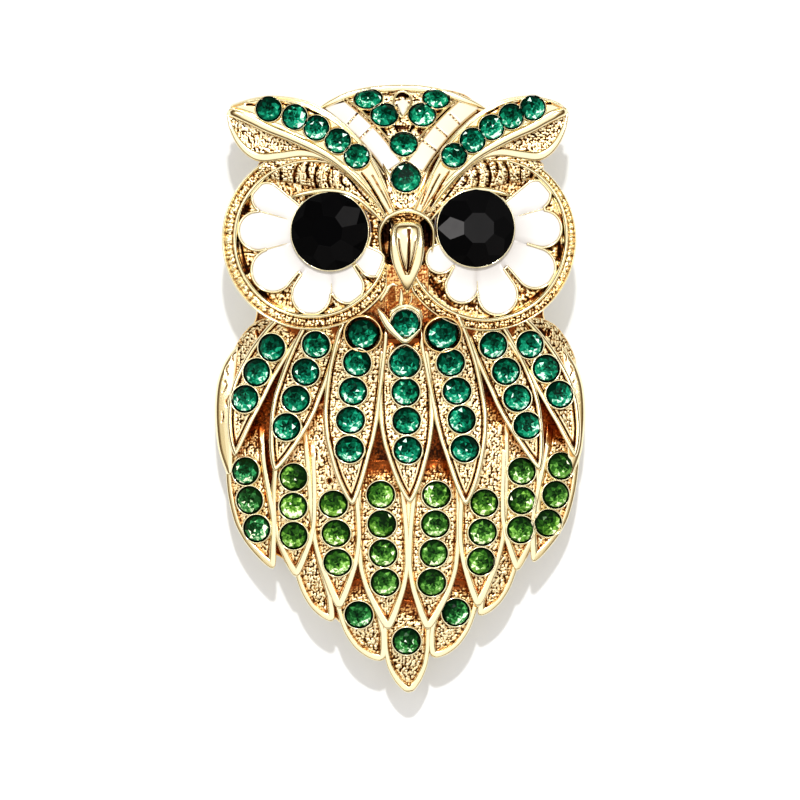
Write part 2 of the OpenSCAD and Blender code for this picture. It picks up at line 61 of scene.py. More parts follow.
# The sizes of the frame's casting, repeated here because the pieces follow the same formulas.
HALF_W, HALF_L = 18.6, 30.45
EDGE_H, DOME_H, HEAD_H, WALL = 3.0, 4.2, 3.6, 1.3
BREAST_LIFT, SKIRT_LIFT, TAIL_LIFT = 2.2, 1.2, 0.5
DISC_R, DISC_TILT, FACE_Z, DISC_T = 9.15, math.radians(9), 8.35, 2.3
BROW_LIFT, BROW_T = 1.5, 2.6
EYE_D, EYE_CUP_H = 7.7, 1.1
STONE_D, STONE_SPACE, BROW_STONE_D, CROWN_STONE_D, SEAT_GAP = 2.62, 0.3, 2.2, 2.5, 0.1
ENAMEL_T, STRIPE_UP, CROWN_UP = 0.5, 1.75, 1.6
FACE_MID, DISC_X = 0.011 * HALF_W, 0.462 * HALF_W
ROOT_DEPTH = 0.5 * WALL
STONE_PITCH = STONE_D + STONE_SPACE
# The small stones' widths differ by up to this share.
STONE_SHAKE = 0.035
THROAT_LIFT = 0.6 * BREAST_LIFT
# The brooch's middle in the photograph, and the pixels of the photograph to a millimetre.
PHOTO_MID, PX_PER_MM = (400.0, 388.5), 10.0
# Walls that meet the shell end this far above the ceiling of the hollow back, so that none shows in it.
COVER = 0.15


def full_size(shares: Sequence) -> Array:
    """Places in millimetres of shares of the half width and half length."""
    return np.array(shares) * [HALF_W, HALF_L]


def seen(x: float, y: float) -> tuple[float, float]:
    """The place in millimetres of a point of the photograph."""
    return (x - PHOTO_MID[0]) / PX_PER_MM, (PHOTO_MID[1] - y) / PX_PER_MM


def seen_right(x: float, y: float) -> tuple[float, float]:
    """The place on the right half of the head that answers to a point of its left half."""
    return seen(769.0 - 0.885 * x, y - 1.0)


# Heights


def dome(x: Array, y: Array) -> Array:
    """Rise of the body's dome: dome height times (1 - (x/a)^2 - (y/b)^2), never below zero."""
    return DOME_H * np.maximum(0, 1 - (x / (1.022 * HALF_W)) ** 2 - (y / (1.06 * HALF_L)) ** 2)


def head(x: Array, y: Array) -> Array:
    """Further rise of the head: head height times the square of (1 - (x/a)^2 - ((y-c)/b)^2)."""
    inside = 1 - (x / (1.3 * HALF_W)) ** 2 - ((y - 0.525 * HALF_L) / (0.62 * HALF_L)) ** 2
    return HEAD_H * np.maximum(0, inside) ** 2


def shell_z(x: Array, y: Array) -> Array:
    """Height of the shell's outer surface."""
    return EDGE_H + dome(x, y) + head(x, y)


def inner_z(x: Array, y: Array) -> Array:
    """Height of the ceiling of the hollow back."""
    return EDGE_H + dome(x, y) + 0.85 * head(x, y) - WALL


def face_z(x: Array, y: Array) -> Array:
    """Height of the face plane, which falls outwards on both sides of the middle of the face."""
    return FACE_Z - math.tan(DISC_TILT) * (np.abs(x - FACE_MID) - DISC_X)


# Curves and noise


def bezier(a: Sequence[float], b: Sequence[float], c: Sequence[float], t: Array) -> Array:
    """Points at t on the curve (1-t)^2 a + 2t(1-t) b + t^2 c."""
    a, b, c, t = np.array(a), np.array(b), np.array(c), np.asarray(t)[:, None]
    return (1 - t) ** 2 * a + 2 * t * (1 - t) * b + t**2 * c


def smooth_through(knots: Sequence[Sequence[float]], count: int, closed: bool = False) -> Array:
    """Points on a smooth curve through knots: between two knots a cubic whose slope at each is half the step
    between its neighbours.

    Args:
        knots: rows of any number of columns.
        count: how many points to return.
        closed: whether the curve returns to its first knot.
    Returns:
        An array of count rows.
    """
    k = np.array(knots, float)
    if closed:
        k = np.vstack([k[-1], k, k[:2]])
        spans = len(k) - 3
        where = np.linspace(0, spans, count, endpoint=False)
    else:
        k = np.vstack([2 * k[0] - k[1], k, 2 * k[-1] - k[-2]])
        spans = len(k) - 3
        where = np.linspace(0, spans, count)
    i = np.minimum(where.astype(int), spans - 1)
    u = (where - i)[:, None]
    p0, p1, p2, p3 = k[i], k[i + 1], k[i + 2], k[i + 3]
    return 0.5 * (2 * p1 + (p2 - p0) * u + (2 * p0 - 5 * p1 + 4 * p2 - p3) * u**2 + (3 * p1 - p0 - 3 * p2 + p3) * u**3)


def smooth_table(table: Sequence[tuple[float, float]], t: Array) -> Array:
    """Values at t of a table of (place, value) rows, joined by cubics that never overshoot the rows.

    The slope at a row is the harmonic mean of the slopes beside it, or zero where they differ in sign.
    """
    x, y = np.array(table, float).T
    h, d = np.diff(x), np.diff(y) / np.diff(x)
    inner = np.where(d[1:] * d[:-1] > 0, 2 * d[1:] * d[:-1] / np.where(d[1:] + d[:-1] == 0, 1, d[1:] + d[:-1]), 0)
    m = np.concatenate([[d[0]], inner, [d[-1]]])
    i = np.clip(np.searchsorted(x, t, side="right") - 1, 0, len(h) - 1)
    u = unit((t - x[i]) / h[i])
    return (
        (1 + 2 * u) * (1 - u) ** 2 * y[i] + u * (1 - u) ** 2 * h[i] * m[i]
        + u**2 * (3 - 2 * u) * y[i + 1] + u**2 * (u - 1) * h[i] * m[i + 1]
    )


def unit(value: Array) -> Array:
    """Values kept between 0 and 1."""
    return np.clip(value, 0.0, 1.0)


def zipped(*parts: Array) -> Array:
    """Arrays side by side on a new last axis."""
    return np.stack(parts, -1)


def walked(line: Array) -> Array:
    """How far along a line each of its points lies."""
    return np.concatenate([[0], np.cumsum(np.linalg.norm(np.diff(line, axis=0), axis=1))])


def left_of(way: Array) -> Array:
    """Unit vectors at a right angle to each direction, on its left."""
    return zipped(-way[:, 1], way[:, 0]) / np.linalg.norm(way, axis=1)[:, None]


def turn_steps(count: int) -> Array:
    """Angles of a full turn in even steps."""
    return np.linspace(0, math.tau, count, endpoint=False)


def apart(angle: Array, way: float) -> Array:
    """The angle between each angle and a direction, from 0 to pi."""
    return np.abs((angle - way + math.pi) % math.tau - math.pi)


def circle(radius: "float | Array", angle: Array, height: "float | Array" = 0.0) -> Array:
    """Points at each angle round the Z axis, at a radius and a height."""
    return zipped(radius * np.cos(angle), radius * np.sin(angle), height + 0 * angle)


def rib_section(steps: int, power: float = 1.0) -> tuple[Array, Array, Array]:
    """A rib's section in unit size: the angles a from 0 to pi of the points on its top, then cos a across and
    (sin a)^power up, each with two more points for the feet of its walls."""
    angle = np.linspace(0, math.pi, steps)
    across = np.concatenate([np.cos(angle), [-1.0, 1.0]])[None, :]
    return angle, across, np.concatenate([np.sin(angle) ** power, [0, 0]])[None, :]


def hashed(ix: Array, iy: Array, seed: int) -> Array:
    """A fixed scatter of numbers from 0 to 1, one for each pair of whole numbers."""
    mix = (ix.astype(np.int64) * 374761393 + iy.astype(np.int64) * 668265263 + seed * 982451653) & 0xFFFFFFFF
    mix = ((mix ^ (mix >> 13)) * 1274126177) & 0xFFFFFFFF
    return ((mix ^ (mix >> 16)) & 0xFFFF) / 65535.0


def grains(x: Array, y: Array, cell: float, seed: int) -> Array:
    """Height from 0 to 1 of a bed of round grains: 1 - (distance to the nearest grain / 0.62 cell)^2, where the
    grains lie on a shaken square grid and differ in height."""
    gx, gy = np.floor(x / cell), np.floor(y / cell)
    best, level = np.full(np.shape(x), 9.0), np.zeros(np.shape(x))
    for dx in (-1, 0, 1):
        for dy in (-1, 0, 1):
            cx, cy = gx + dx, gy + dy
            px = (cx + 0.15 + 0.7 * hashed(cx, cy, seed)) * cell
            py = (cy + 0.15 + 0.7 * hashed(cx, cy, seed + 1)) * cell
            far = np.hypot(x - px, y - py) / cell
            nearer = far < best
            best = np.where(nearer, far, best)
            level = np.where(nearer, 0.55 + 0.45 * hashed(cx, cy, seed + 2), level)
    return unit(1 - (best / 0.62) ** 2) * level


def ripple(x: Array, y: Array, cell: float, seed: int) -> Array:
    """Smooth noise from -1 to 1: hashed corner values of a square grid, blended with a smooth step."""
    gx, gy = np.floor(x / cell), np.floor(y / cell)
    u, v = x / cell - gx, y / cell - gy
    u, v = u * u * (3 - 2 * u), v * v * (3 - 2 * v)
    corner = [[hashed(gx + i, gy + j, seed) for j in (0, 1)] for i in (0, 1)]
    low, high = corner[0][0] * (1 - u) + corner[1][0] * u, corner[0][1] * (1 - u) + corner[1][1] * u
    return 2 * (low * (1 - v) + high * v) - 1


# Meshes


@dataclass
class Patch:
    """A surface in millimetres, with the marks that its finish reads: relief is 0 in a crevice and 1 on a polished
    ridge, which the finish paints as shade in crevices and as a highlight on ridges, and grain is 1 where the ground is
    grained. A mark is an array or one number for all points."""

    points: Array
    faces: list[Array]
    relief: "Array | float" = 1.0
    grain: "Array | float" = 0.0
    face_marks: dict[str, Array] = field(default_factory=dict)

    def __post_init__(self) -> None:
        """Gives every point its marks."""
        self.relief, self.grain = (np.broadcast_to(np.ravel(m), len(self.points)) for m in (self.relief, self.grain))

    @staticmethod
    def joined(patches: Sequence["Patch"]) -> "Patch":
        """Several patches as one."""
        points, faces, start = [], [], 0
        for patch in patches:
            points.append(patch.points)
            faces.extend(f + start for f in patch.faces)
            start += len(patch.points)
        return Patch(
            np.vstack(points), faces,
            np.concatenate([p.relief for p in patches]), np.concatenate([p.grain for p in patches]),
        )

    def outward(self) -> "Patch":
        """The same patch with its faces turned outwards: the sum of a . (b x c) over its triangles is positive."""
        volume = 0.0
        for f in self.faces:
            for k in range(1, f.shape[1] - 1):
                a, b, c = self.points[f[:, 0]], self.points[f[:, k]], self.points[f[:, k + 1]]
                volume += float(np.einsum("ij,ij->", a, np.cross(b, c)))
        if volume < 0:
            self.faces = [f[:, ::-1] for f in self.faces]
        return self

    def as_object(self, name: str, material: bpy.types.Material, sharp: float | None = None) -> bpy.types.Object:
        """Makes the object.

        Args:
            name: the piece's name.
            material: its only material.
            sharp: angle in degrees past which an edge is sharp, zero for facets, or None for a smooth surface.
        Returns:
            The object, at the origin, with its place in its mesh.
        """
        mesh = bpy.data.meshes.new(name)
        sizes = np.concatenate([np.full(len(f), f.shape[1]) for f in self.faces])
        corners = np.concatenate([f.ravel() for f in self.faces]).astype(np.int32)
        mesh.vertices.add(len(self.points))
        mesh.vertices.foreach_set("co", (self.points * MM).astype(np.float32).ravel())
        mesh.loops.add(len(corners))
        mesh.loops.foreach_set("vertex_index", corners)
        mesh.polygons.add(len(sizes))
        mesh.polygons.foreach_set("loop_start", (np.cumsum(sizes) - sizes).astype(np.int32))
        mesh.update(calc_edges=True)
        for mark, values in (("relief", self.relief), ("grain", self.grain)):
            layer = mesh.attributes.new(mark, "FLOAT", "POINT")
            layer.data.foreach_set("value", unit(values).astype(np.float32))
        for mark, values in self.face_marks.items():
            layer = mesh.attributes.new(mark, "FLOAT", "FACE")
            layer.data.foreach_set("value", values.astype(np.float32))
        mesh.polygons.foreach_set("use_smooth", np.full(len(sizes), sharp != 0))
        if sharp:
            mesh.set_sharp_from_angle(angle=math.radians(sharp))
        mesh.materials.append(material)
        made = bpy.data.objects.new(name, mesh)
        bpy.context.scene.collection.objects.link(made)
        return made


def ring_quads(rows: int, cols: int, closed: bool = False) -> Array:
    """Quads between neighbouring rows of a grid whose columns close into a ring; where closed is set, also between
    the last row and the first."""
    i, j = np.meshgrid(np.arange(rows if closed else rows - 1), np.arange(cols), indexing="ij")
    row, below, beside = i * cols, (i + 1) % rows * cols, (j + 1) % cols
    return zipped(row + j, row + beside, below + beside, below + j).reshape(-1, 4)


def lofted(sections: Array, relief: "Array | float", grain: "Array | float" = 0.0) -> Patch:
    """A closed solid through closed sections, with a fan over each end.

    Args:
        sections: rows x columns x 3 points, each row a closed section.
        relief: rows x columns marks, or one for all.
        grain: the same for the grain.
    Returns:
        The patch, with its faces outwards.
    """
    rows, cols = sections.shape[:2]
    points = np.vstack([sections.reshape(-1, 3), sections[0].mean(0), sections[-1].mean(0)])
    j = np.arange(cols)
    near = zipped((j + 1) % cols, j, np.full(cols, rows * cols))
    far = zipped((rows - 1) * cols + j, (rows - 1) * cols + (j + 1) % cols, np.full(cols, rows * cols + 1))
    marks = [np.array(np.broadcast_to(m, (rows, cols)), float) for m in (relief, grain)]
    marks = [np.concatenate([m.ravel(), [m[0].mean(), m[-1].mean()]]) for m in marks]
    return Patch(points, [ring_quads(rows, cols), near, far], *marks).outward()


def turned(profile: Array, cols: int) -> tuple[Array, Array]:
    """A profile of (radius, height) rows carried round the Z axis.

    Returns:
        The rows x cols x 3 points and the angle of each column.
    """
    angle = turn_steps(cols)
    return circle(profile[:, :1], angle, profile[:, 1:]), angle


def hoop(grid: Array, relief: Array) -> Patch:
    """A solid ring whose section runs down the rows of a grid and back to its first row."""
    return Patch(grid.reshape(-1, 3), [ring_quads(*grid.shape[:2], closed=True)], relief).outward()


@dataclass(frozen=True)
class Stroke:
    """A line cut into a surface or raised on it, along a curve of three points in millimetres."""

    start: tuple[float, float]
    bend: tuple[float, float]
    end: tuple[float, float]
    width: float
    rise: float

    @classmethod
    def through(cls, *row: float) -> "Stroke":
        """A stroke through three points of the photograph, given as six numbers, then its width and its rise."""
        return cls(seen(*row[:2]), seen(*row[2:4]), seen(*row[4:6]), *row[6:])

    def weight(self, x: Array, y: Array) -> Array:
        """How strongly the stroke acts at each point: (1 - (d/w)^2)^2 within its half width w, where d is the
        distance to the nearest of the short lines that make up the curve."""
        line = bezier(self.start, self.bend, self.end, np.linspace(0, 1, 11))
        best = np.full(x.shape, 1e9)
        for a, b in zip(line[:-1], line[1:]):
            step = b - a
            u = unit(((x - a[0]) * step[0] + (y - a[1]) * step[1]) / max(step @ step, 1e-9))
            best = np.minimum(best, np.hypot(x - a[0] - u * step[0], y - a[1] - u * step[1]))
        return unit(1 - (best / (self.width / 2)) ** 2) ** 2


@dataclass(frozen=True)
class Edging:
    """How a leaf's top runs from its edge inwards: rows of (distance, height, relief, grain), where low relief is
    painted shade in a crevice and high relief a painted highlight on a rim. At the leaf's tip the run is wider by the
    share swell, and a second line, of the height second, lies inside it."""

    rows: tuple[tuple[float, float, float, float], ...]
    swell: float = 0.0
    second: float = 0.0

    def at(self, distance: Array) -> tuple[Array, Array, Array]:
        """Height, relief and grain at distances from the edge."""
        table = np.array(self.rows)
        return tuple(np.interp(distance, table[:, 0], table[:, k]) for k in (1, 2, 3))


FEATHER_EDGE = Edging((
    (0.0, 0.10, 0.15, 0), (0.03, 0.24, 0.6, 0), (0.07, 0.31, 1, 0), (0.14, 0.345, 1, 0), (0.22, 0.365, 1, 0),
    (0.30, 0.37, 1, 0), (0.37, 0.35, 1, 0), (0.43, 0.29, 0.95, 0), (0.48, 0.12, 0.15, 0), (0.53, -0.07, 0.0, 0),
    (0.59, -0.08, 0.0, 0), (0.65, -0.01, 0.35, 0.6), (0.74, 0.0, 0.5, 1), (0.9, 0.0, 0.5, 1),
), second=0.14)
SKIRT_EDGE = Edging((
    (0.0, 0.20, 0.4, 0), (0.02, 0.29, 0.9, 0), (0.06, 0.33, 1, 0), (0.2, 0.35, 1, 0), (0.35, 0.36, 1, 0),
    (0.45, 0.34, 1, 0), (0.51, 0.27, 0.9, 0), (0.56, 0.1, 0.15, 0), (0.61, -0.05, 0.0, 0), (0.67, -0.03, 0.25, 0.5),
    (0.76, 0.0, 0.5, 1), (0.9, 0.0, 0.5, 1),
), swell=0.4)
PLAIN_EDGE = Edging((
    (0.0, -0.12, 0.5, 0), (0.08, 0.02, 0.8, 0), (0.2, 0.09, 0.95, 0), (0.4, 0.12, 1, 0), (0.8, 0.13, 1, 0),
))
BROW_EDGE = Edging((
    (0.0, -0.06, 0.3, 0), (0.05, 0.08, 0.8, 0), (0.13, 0.13, 1, 0), (0.2, 0.08, 0.7, 0), (0.26, -0.06, 0.05, 0),
    (0.31, -0.02, 0.4, 0), (0.38, 0.03, 0.9, 0), (0.55, 0.04, 0.95, 0.12), (0.9, 0.04, 0.95, 0.15),
))
GRAINED_EDGE = Edging((
    (0.0, -0.1, 0.3, 0), (0.08, 0.0, 0.5, 0.4), (0.3, 0.0, 0.5, 1), (0.8, 0.0, 0.5, 1),
))
CHANNEL_EDGE = Edging((
    (0.0, -0.05, 0.05, 0), (0.03, 0.04, 0.6, 0), (0.07, 0.07, 1, 0), (0.11, 0.05, 0.9, 0), (0.15, -0.1, 0.2, 0),
    (0.19, -0.5, 0.1, 0), (0.8, -0.52, 0.2, 0),
))
# A leaf's mesh: rows a step apart along it, three more that round off its tip, each as (place along it, share of its
# width, drop), close columns at distances from its edge, which reach no further in than a share of its half width,
# and even columns a step apart between them. Its walls have rows at shares of their depth, each with a relief that
# paints shade on them.
ROW_STEP, LAST_ROW, COLUMN_STEP = 0.115, 0.985, 0.11
TIP_ROWS = np.array([(0.991, 0.8, 0.03), (0.996, 0.55, 0.12), (1.0, 0.2, 0.32)])
EDGE_STEPS = np.array([0, 0.03, 0.07, 0.14, 0.22, 0.3, 0.37, 0.43, 0.48, 0.53, 0.58, 0.65, 0.73, 0.82])
EDGE_SHARE = 0.92
WALL_SHARES, WALL_RELIEF = (0.2, 0.5, 1.0), (0.3, 0.2, 0.55)
# The floor of a leaf: how far its grains rise and from what depth; how the well of a stone is cut.
GRAIN_RISE, GRAIN_SINK = 0.15, 0.08
WELL_MARGIN, WELL_SOFT, WELL_DEPTH, WELL_EDGE = 0.12, 0.15, 0.25, 0.45

BREAST_FORM = (
    (0, 0.88), (0.16, 1.02), (0.34, 1.08), (0.5, 1.07), (0.62, 0.98), (0.74, 0.78), (0.86, 0.53), (0.94, 0.3),
    (1, 0.07),
)
SKIRT_FORM = (
    (0, 1.02), (0.2, 1.12), (0.45, 1.21), (0.6, 1.18), (0.74, 0.98), (0.86, 0.65), (0.94, 0.38), (1, 0.1),
)
TAIL_FORM = ((0, 0.9), (0.25, 1), (0.5, 0.98), (0.7, 0.86), (0.87, 0.58), (0.95, 0.34), (1, 0.12))
WING_FORM = ((0, 0.1), (0.08, 0.4), (0.22, 0.8), (0.4, 1), (0.8, 0.85), (1, 0.3))
BROW_FORM = ((0, 0.3), (0.2, 0.6), (0.4, 0.95), (0.6, 1), (0.8, 0.75), (1, 0.12))
LOBE_FORM = ((0, 0.15), (0.25, 0.5), (0.6, 1), (0.8, 0.7), (1, 0.12))
LASH_FORM = ((0, 0.3), (0.25, 0.6), (0.6, 1), (0.8, 0.95), (1, 0.35))
CROWN_FORM = (
    (0, 0.28), (0.044, 0.6), (0.104, 0.8), (0.193, 0.9), (0.316, 0.76), (0.484, 0.5), (0.66, 0.29), (0.757, 0.25),
    (0.87, 0.23), (0.94, 0.2), (1, 0.12),
)
DROP_FORM = ((0, 0.4), (0.18, 0.9), (0.4, 1), (0.7, 0.7), (1, 0.1))
BAND_FORM = ((0, 1), (0.5, 1), (1, 1))


def rising(lift: float) -> Callable[[Array], Array]:
    """A lift that grows from 0.4 of its full height at the root to the whole of it at the tip."""
    return lambda t: lift * (0.4 + 0.6 * t)


def level(lift: float) -> Callable[[Array], Array]:
    """The same lift from root to tip."""
    return lambda t: lift + 0 * t


@dataclass(frozen=True)
class Leaf:
    """A leaf of the casting: the three places that set its axis, as shares of the brooch's half width and half
    length; its own half width, as a share of the brooch's; how many stones it holds, and how far from its tip the
    first of them sits, as a share of its length; its strokes; and the share of its length by which it starts behind
    its root."""

    root: tuple[float, float]
    bend: tuple[float, float]
    tip: tuple[float, float]
    half: float
    stones: int = 0
    last: float = 0.0
    strokes: tuple[Stroke, ...] = ()
    back: float = 0.0

    def axis(self, t: Array) -> Array:
        """Points on the axis at t, in millimetres."""
        return bezier(*full_size((self.root, self.bend, self.tip)), t)

    def length(self) -> float:
        """Length of the axis, walked in 24 steps."""
        line = self.axis(np.linspace(1, 0, 25))
        return float(np.linalg.norm(np.diff(line, axis=0), axis=1).sum())

    def way(self, t: Array) -> Array:
        """The direction of the axis at t, not of unit length."""
        return self.axis(t + 0.01) - self.axis(t - 0.01)

    def beside(self, offset: float, rest: Sequence[float]) -> tuple:
        """Seven knots of a rib that runs beside the axis, to its left where offset is positive; rest is their lift,
        half width and height."""
        t = np.linspace(0.04, 0.96, 7)
        return tuple((float(x), float(y), *rest) for x, y in self.axis(t) + offset * left_of(self.way(t)))

    def places(self, pitch: float) -> tuple[Array, Array, Array]:
        """Where the stones sit.

        Args:
            pitch: distance between neighbours.
        Returns:
            Their places, their t, and the direction of the axis there.
        """
        line = self.axis(np.linspace(1, 0, 25))
        run = walked(line)
        far = self.last * run[-1] + pitch * np.arange(self.stones)
        spots = np.stack([np.interp(far, run, line[:, k]) for k in (0, 1)], -1)
        t = 1 - far / run[-1]
        way = self.axis(t + 0.05) - self.axis(t - 0.05)
        return spots, t, way / np.linalg.norm(way, axis=1)[:, None]

    def carved(self, x: Array, y: Array, up: Array, relief: Array, grain: Array) -> tuple[Array, Array, Array]:
        """Height, relief and grain with the leaf's strokes: where one cuts in, the ground is smooth and painted dark as
        shade, and where one stands up, painted bright as a highlight."""
        for stroke in self.strokes:
            weight = stroke.weight(x, y)
            up = up + stroke.rise * weight
            if stroke.rise < 0:
                dim = 1 - unit(1.8 * weight)
                relief, grain = relief * dim, grain * dim
            else:
                relief, grain = np.maximum(relief, weight), grain * (1 - weight)
        return up, relief, grain

    def solid(
        self, form: Sequence[tuple[float, float]], base: Height, lift: Callable[[Array], Array], edging: Edging,
        sink: float, grain_size: float = 0.27, crown: float = 0.0, seats: tuple[Array, Array] | None = None,
        fade: float = 0.0,
    ) -> Patch:
        """The leaf's closed solid: its top is base + lift + edging + strokes + grains, with the columns set by their
        distance from the edge, and its walls go down to sink below the base.

        Args:
            form: the half width along the leaf, as shares.
            base: the surface that it follows.
            lift: how far above it the floor lies.
            edging: the run of the top from its edge inwards.
            sink: how far below the base the walls end.
            grain_size: pitch of the grains.
            crown: how far the middle of the floor stands above its edges.
            seats: places and radii of the wells of stones, where the floor is low and smooth, painted dark as shade.
            fade: the share of its length over which it rises from its root, painted dark as shade at first.
        Returns:
            The patch.
        """
        rows = max(24, int(self.length() / ROW_STEP))
        t = np.concatenate([np.linspace(-self.back, LAST_ROW, rows), TIP_ROWS[:, 0]])
        narrow, drop = np.ones(len(t)), np.zeros(len(t))
        narrow[rows:], drop[rows:] = TIP_ROWS[:, 1], TIP_ROWS[:, 2]
        half = smooth_table(form, t) * self.half * HALF_W * narrow
        line = self.axis(t)
        way = np.gradient(line, axis=0)
        side = left_of(way)
        # How much longer the way across is than the true distance from a slanting edge.
        slant = np.hypot(1, np.gradient(half) / np.linalg.norm(way, axis=1))
        half, slant, along = half[:, None], slant[:, None], t[:, None]
        inner = int(np.clip(2 * (half.max() - EDGE_STEPS[-1]) / COLUMN_STEP, 8, 140))
        # Columns across, from the left edge to the right, and the distance of each from its edge.
        share = np.linspace(0, EDGE_SHARE, len(EDGE_STEPS))
        wider = 1 + edging.swell * unit((along - 0.72) / 0.2)
        steps = np.minimum(EDGE_STEPS[None, :] * slant * wider, half * share[None, :])
        left = -(half - steps)
        middle = np.linspace(-1, 1, inner + 2)[None, 1:-1] * (half - steps[:, -1:])
        across = np.hstack([left, middle, -left[:, ::-1]])
        x = line[:, :1] + across * side[:, :1]
        y = line[:, 1:] + across * side[:, 1:]
        far = (half - np.abs(across)) / slant / wider
        up, relief, grain = edging.at(far)
        up = up + crown * (1 - (across / np.maximum(half, 1e-6)) ** 2)
        if edging.second:
            second = unit(1 - ((far - 0.78) / 0.11) ** 2) * unit((along - 0.6) / 0.15)
            up, relief, grain = up + edging.second * second, np.maximum(relief, second), grain * (1 - second)
        up, relief, grain = self.carved(x, y, up, relief, grain)
        # The wells of the stones, painted dark as shade, then the grains: painted shade between them, a painted
        # highlight on their tops.
        for spot, radius in zip(*(seats or ((), ()))):
            under = unit((radius + WELL_MARGIN - np.hypot(x - spot[0], y - spot[1])) / WELL_SOFT)
            up, grain = up - WELL_DEPTH * under * (far > WELL_EDGE), grain * (1 - under)
            relief = relief * (1 - under)
        bed = 0.72 * grains(x, y, grain_size, 7) + 0.28 * grains(x, y, 0.45 * grain_size, 8)
        up = up + grain * (GRAIN_RISE * bed - GRAIN_SINK)
        relief = relief * (1 - grain) + grain * unit(2.5 * bed - 0.66)
        # Towards the root the leaf sinks and is painted dark as shade.
        if fade:
            grown = unit((along + self.back + 0.05 * ripple(x, y, 0.8, 17)) / fade)
            up, relief = up * grown - 0.25 * (1 - grown), relief * grown**1.5 + 0.08 * (1 - grown)
            grain = grain * grown
        top = base(x, y) + lift(t)[:, None] + up - drop[:, None]
        # The walls end below the base, but not in the hollow back.
        ceiling, floor = inner_z(x, y) + COVER, base(x, y) - sink
        floor = np.where(floor < ceiling, np.minimum(ceiling, top - 0.2), floor)
        walls = [
            zipped(x[:, edge], y[:, edge], top[:, edge] * (1 - k) + floor[:, edge] * k)
            for edge, shares in ((-1, WALL_SHARES), (0, WALL_SHARES[::-1])) for k in shares
        ]
        sections = np.concatenate([zipped(x, y, top), np.stack(walls, 1)], 1)
        # The walls' reliefs paint shade on them.
        dim = np.tile(WALL_RELIEF, (len(t), 1))
        return lofted(sections, np.hstack([relief, dim, dim[:, ::-1]]), np.hstack([grain, 0 * dim, 0 * dim]))


@dataclass(frozen=True)
class Ridge:
    """A polished wire or rib laid along a smooth curve.

    knots are rows of (x, y, lift, half width, height), all in millimetres, with the lift above the base.
    """

    knots: tuple[tuple[float, float, float, float, float], ...]
    base: Height
    power: float = 0.6
    depth: float = 0.8

    @classmethod
    def through(cls, rows: Sequence[Sequence[float]], base: Height, power: float = 0.6) -> "Ridge":
        """A rib whose rows start with a point of the photograph."""
        return cls(tuple((*seen(*row[:2]), *row[2:]) for row in rows), base, power)

    @staticmethod
    def flanks(angle: Array) -> Array:
        """The marks across a rib: painted shade at its foot and a full painted highlight where sin a passes 0.65."""
        return 0.06 + 0.94 * unit((np.sin(angle) - 0.15) / 0.5)

    def solid(self) -> Patch:
        """The rib: its section is w cos a across and h (sin a)^power up, with walls down to its depth."""
        places = np.array(self.knots)[:, :2]
        reach = float(np.linalg.norm(np.diff(places, axis=0), axis=1).sum())
        rows = int(np.clip(reach / 0.2, 16, 400))
        k = smooth_through(self.knots, rows)
        x, y, lift = k[:, 0], k[:, 1], k[:, 2]
        w, h = np.maximum(k[:, 3:4], 0.015), np.maximum(k[:, 4:5], 0.01)
        way = np.gradient(k[:, :2], axis=0)
        way /= np.linalg.norm(way, axis=1)[:, None]
        angle, across, up = rib_section(11, self.power)
        across, up = across * w, up * h
        up[:, -2:] = -self.depth
        px, py = x[:, None] - across * way[:, 1:], y[:, None] + across * way[:, :1]
        centre = (self.base(x, y) + lift)[:, None]
        z = centre + up
        z[:, -2:] = np.maximum(z[:, -2:], inner_z(px[:, -2:], py[:, -2:]) + COVER)
        z[:, -2:] = np.minimum(z[:, -2:], centre - 0.02)
        # The rib's walls are painted dark as shade.
        relief = np.tile(np.concatenate([self.flanks(angle), [0.1, 0.1]]), (rows, 1))
        return lofted(zipped(px, py, z), relief)


# Finishes


class Link:
    """A node's output. The usual operators on it add Math nodes."""

    def __init__(self, graph: "Graph", socket: bpy.types.NodeSocket) -> None:
        """Wraps a socket of a graph."""
        self.graph, self.socket = graph, socket

    def maths(self, operation: str, first: "Link | float", second: "Link | float") -> "Link":
        """The result of a Math node on two values."""
        made = self.graph.add("ShaderNodeMath", {"operation": operation}, {"Value": first, "Value_001": second})
        return made["Value"]

    def __add__(self, other: "Link | float") -> "Link":
        """Sum."""
        return self.maths("ADD", self, other)

    __radd__ = __add__

    def __mul__(self, other: "Link | float") -> "Link":
        """Product."""
        return self.maths("MULTIPLY", self, other)

    __rmul__ = __mul__

    def __sub__(self, other: "Link | float") -> "Link":
        """Difference."""
        return self.maths("SUBTRACT", self, other)

    def __rsub__(self, other: "Link | float") -> "Link":
        """Difference from a number."""
        return self.maths("SUBTRACT", other, self)

    def __pow__(self, other: "Link | float") -> "Link":
        """Power."""
        return self.maths("POWER", self, other)

    def limited(self) -> "Link":
        """The value kept between 0 and 1."""
        return self.graph.add("ShaderNodeClamp", {}, {"Value": self})["Result"]


class Made:
    """A node just added, whose outputs are read by name."""

    def __init__(self, graph: "Graph", node: bpy.types.Node) -> None:
        """Wraps a node of a graph."""
        self.graph, self.node = graph, node

    def __getitem__(self, name: str) -> Link:
        """The output of that identifier or name."""
        return Link(self.graph, Graph.find(self.node.outputs, name))


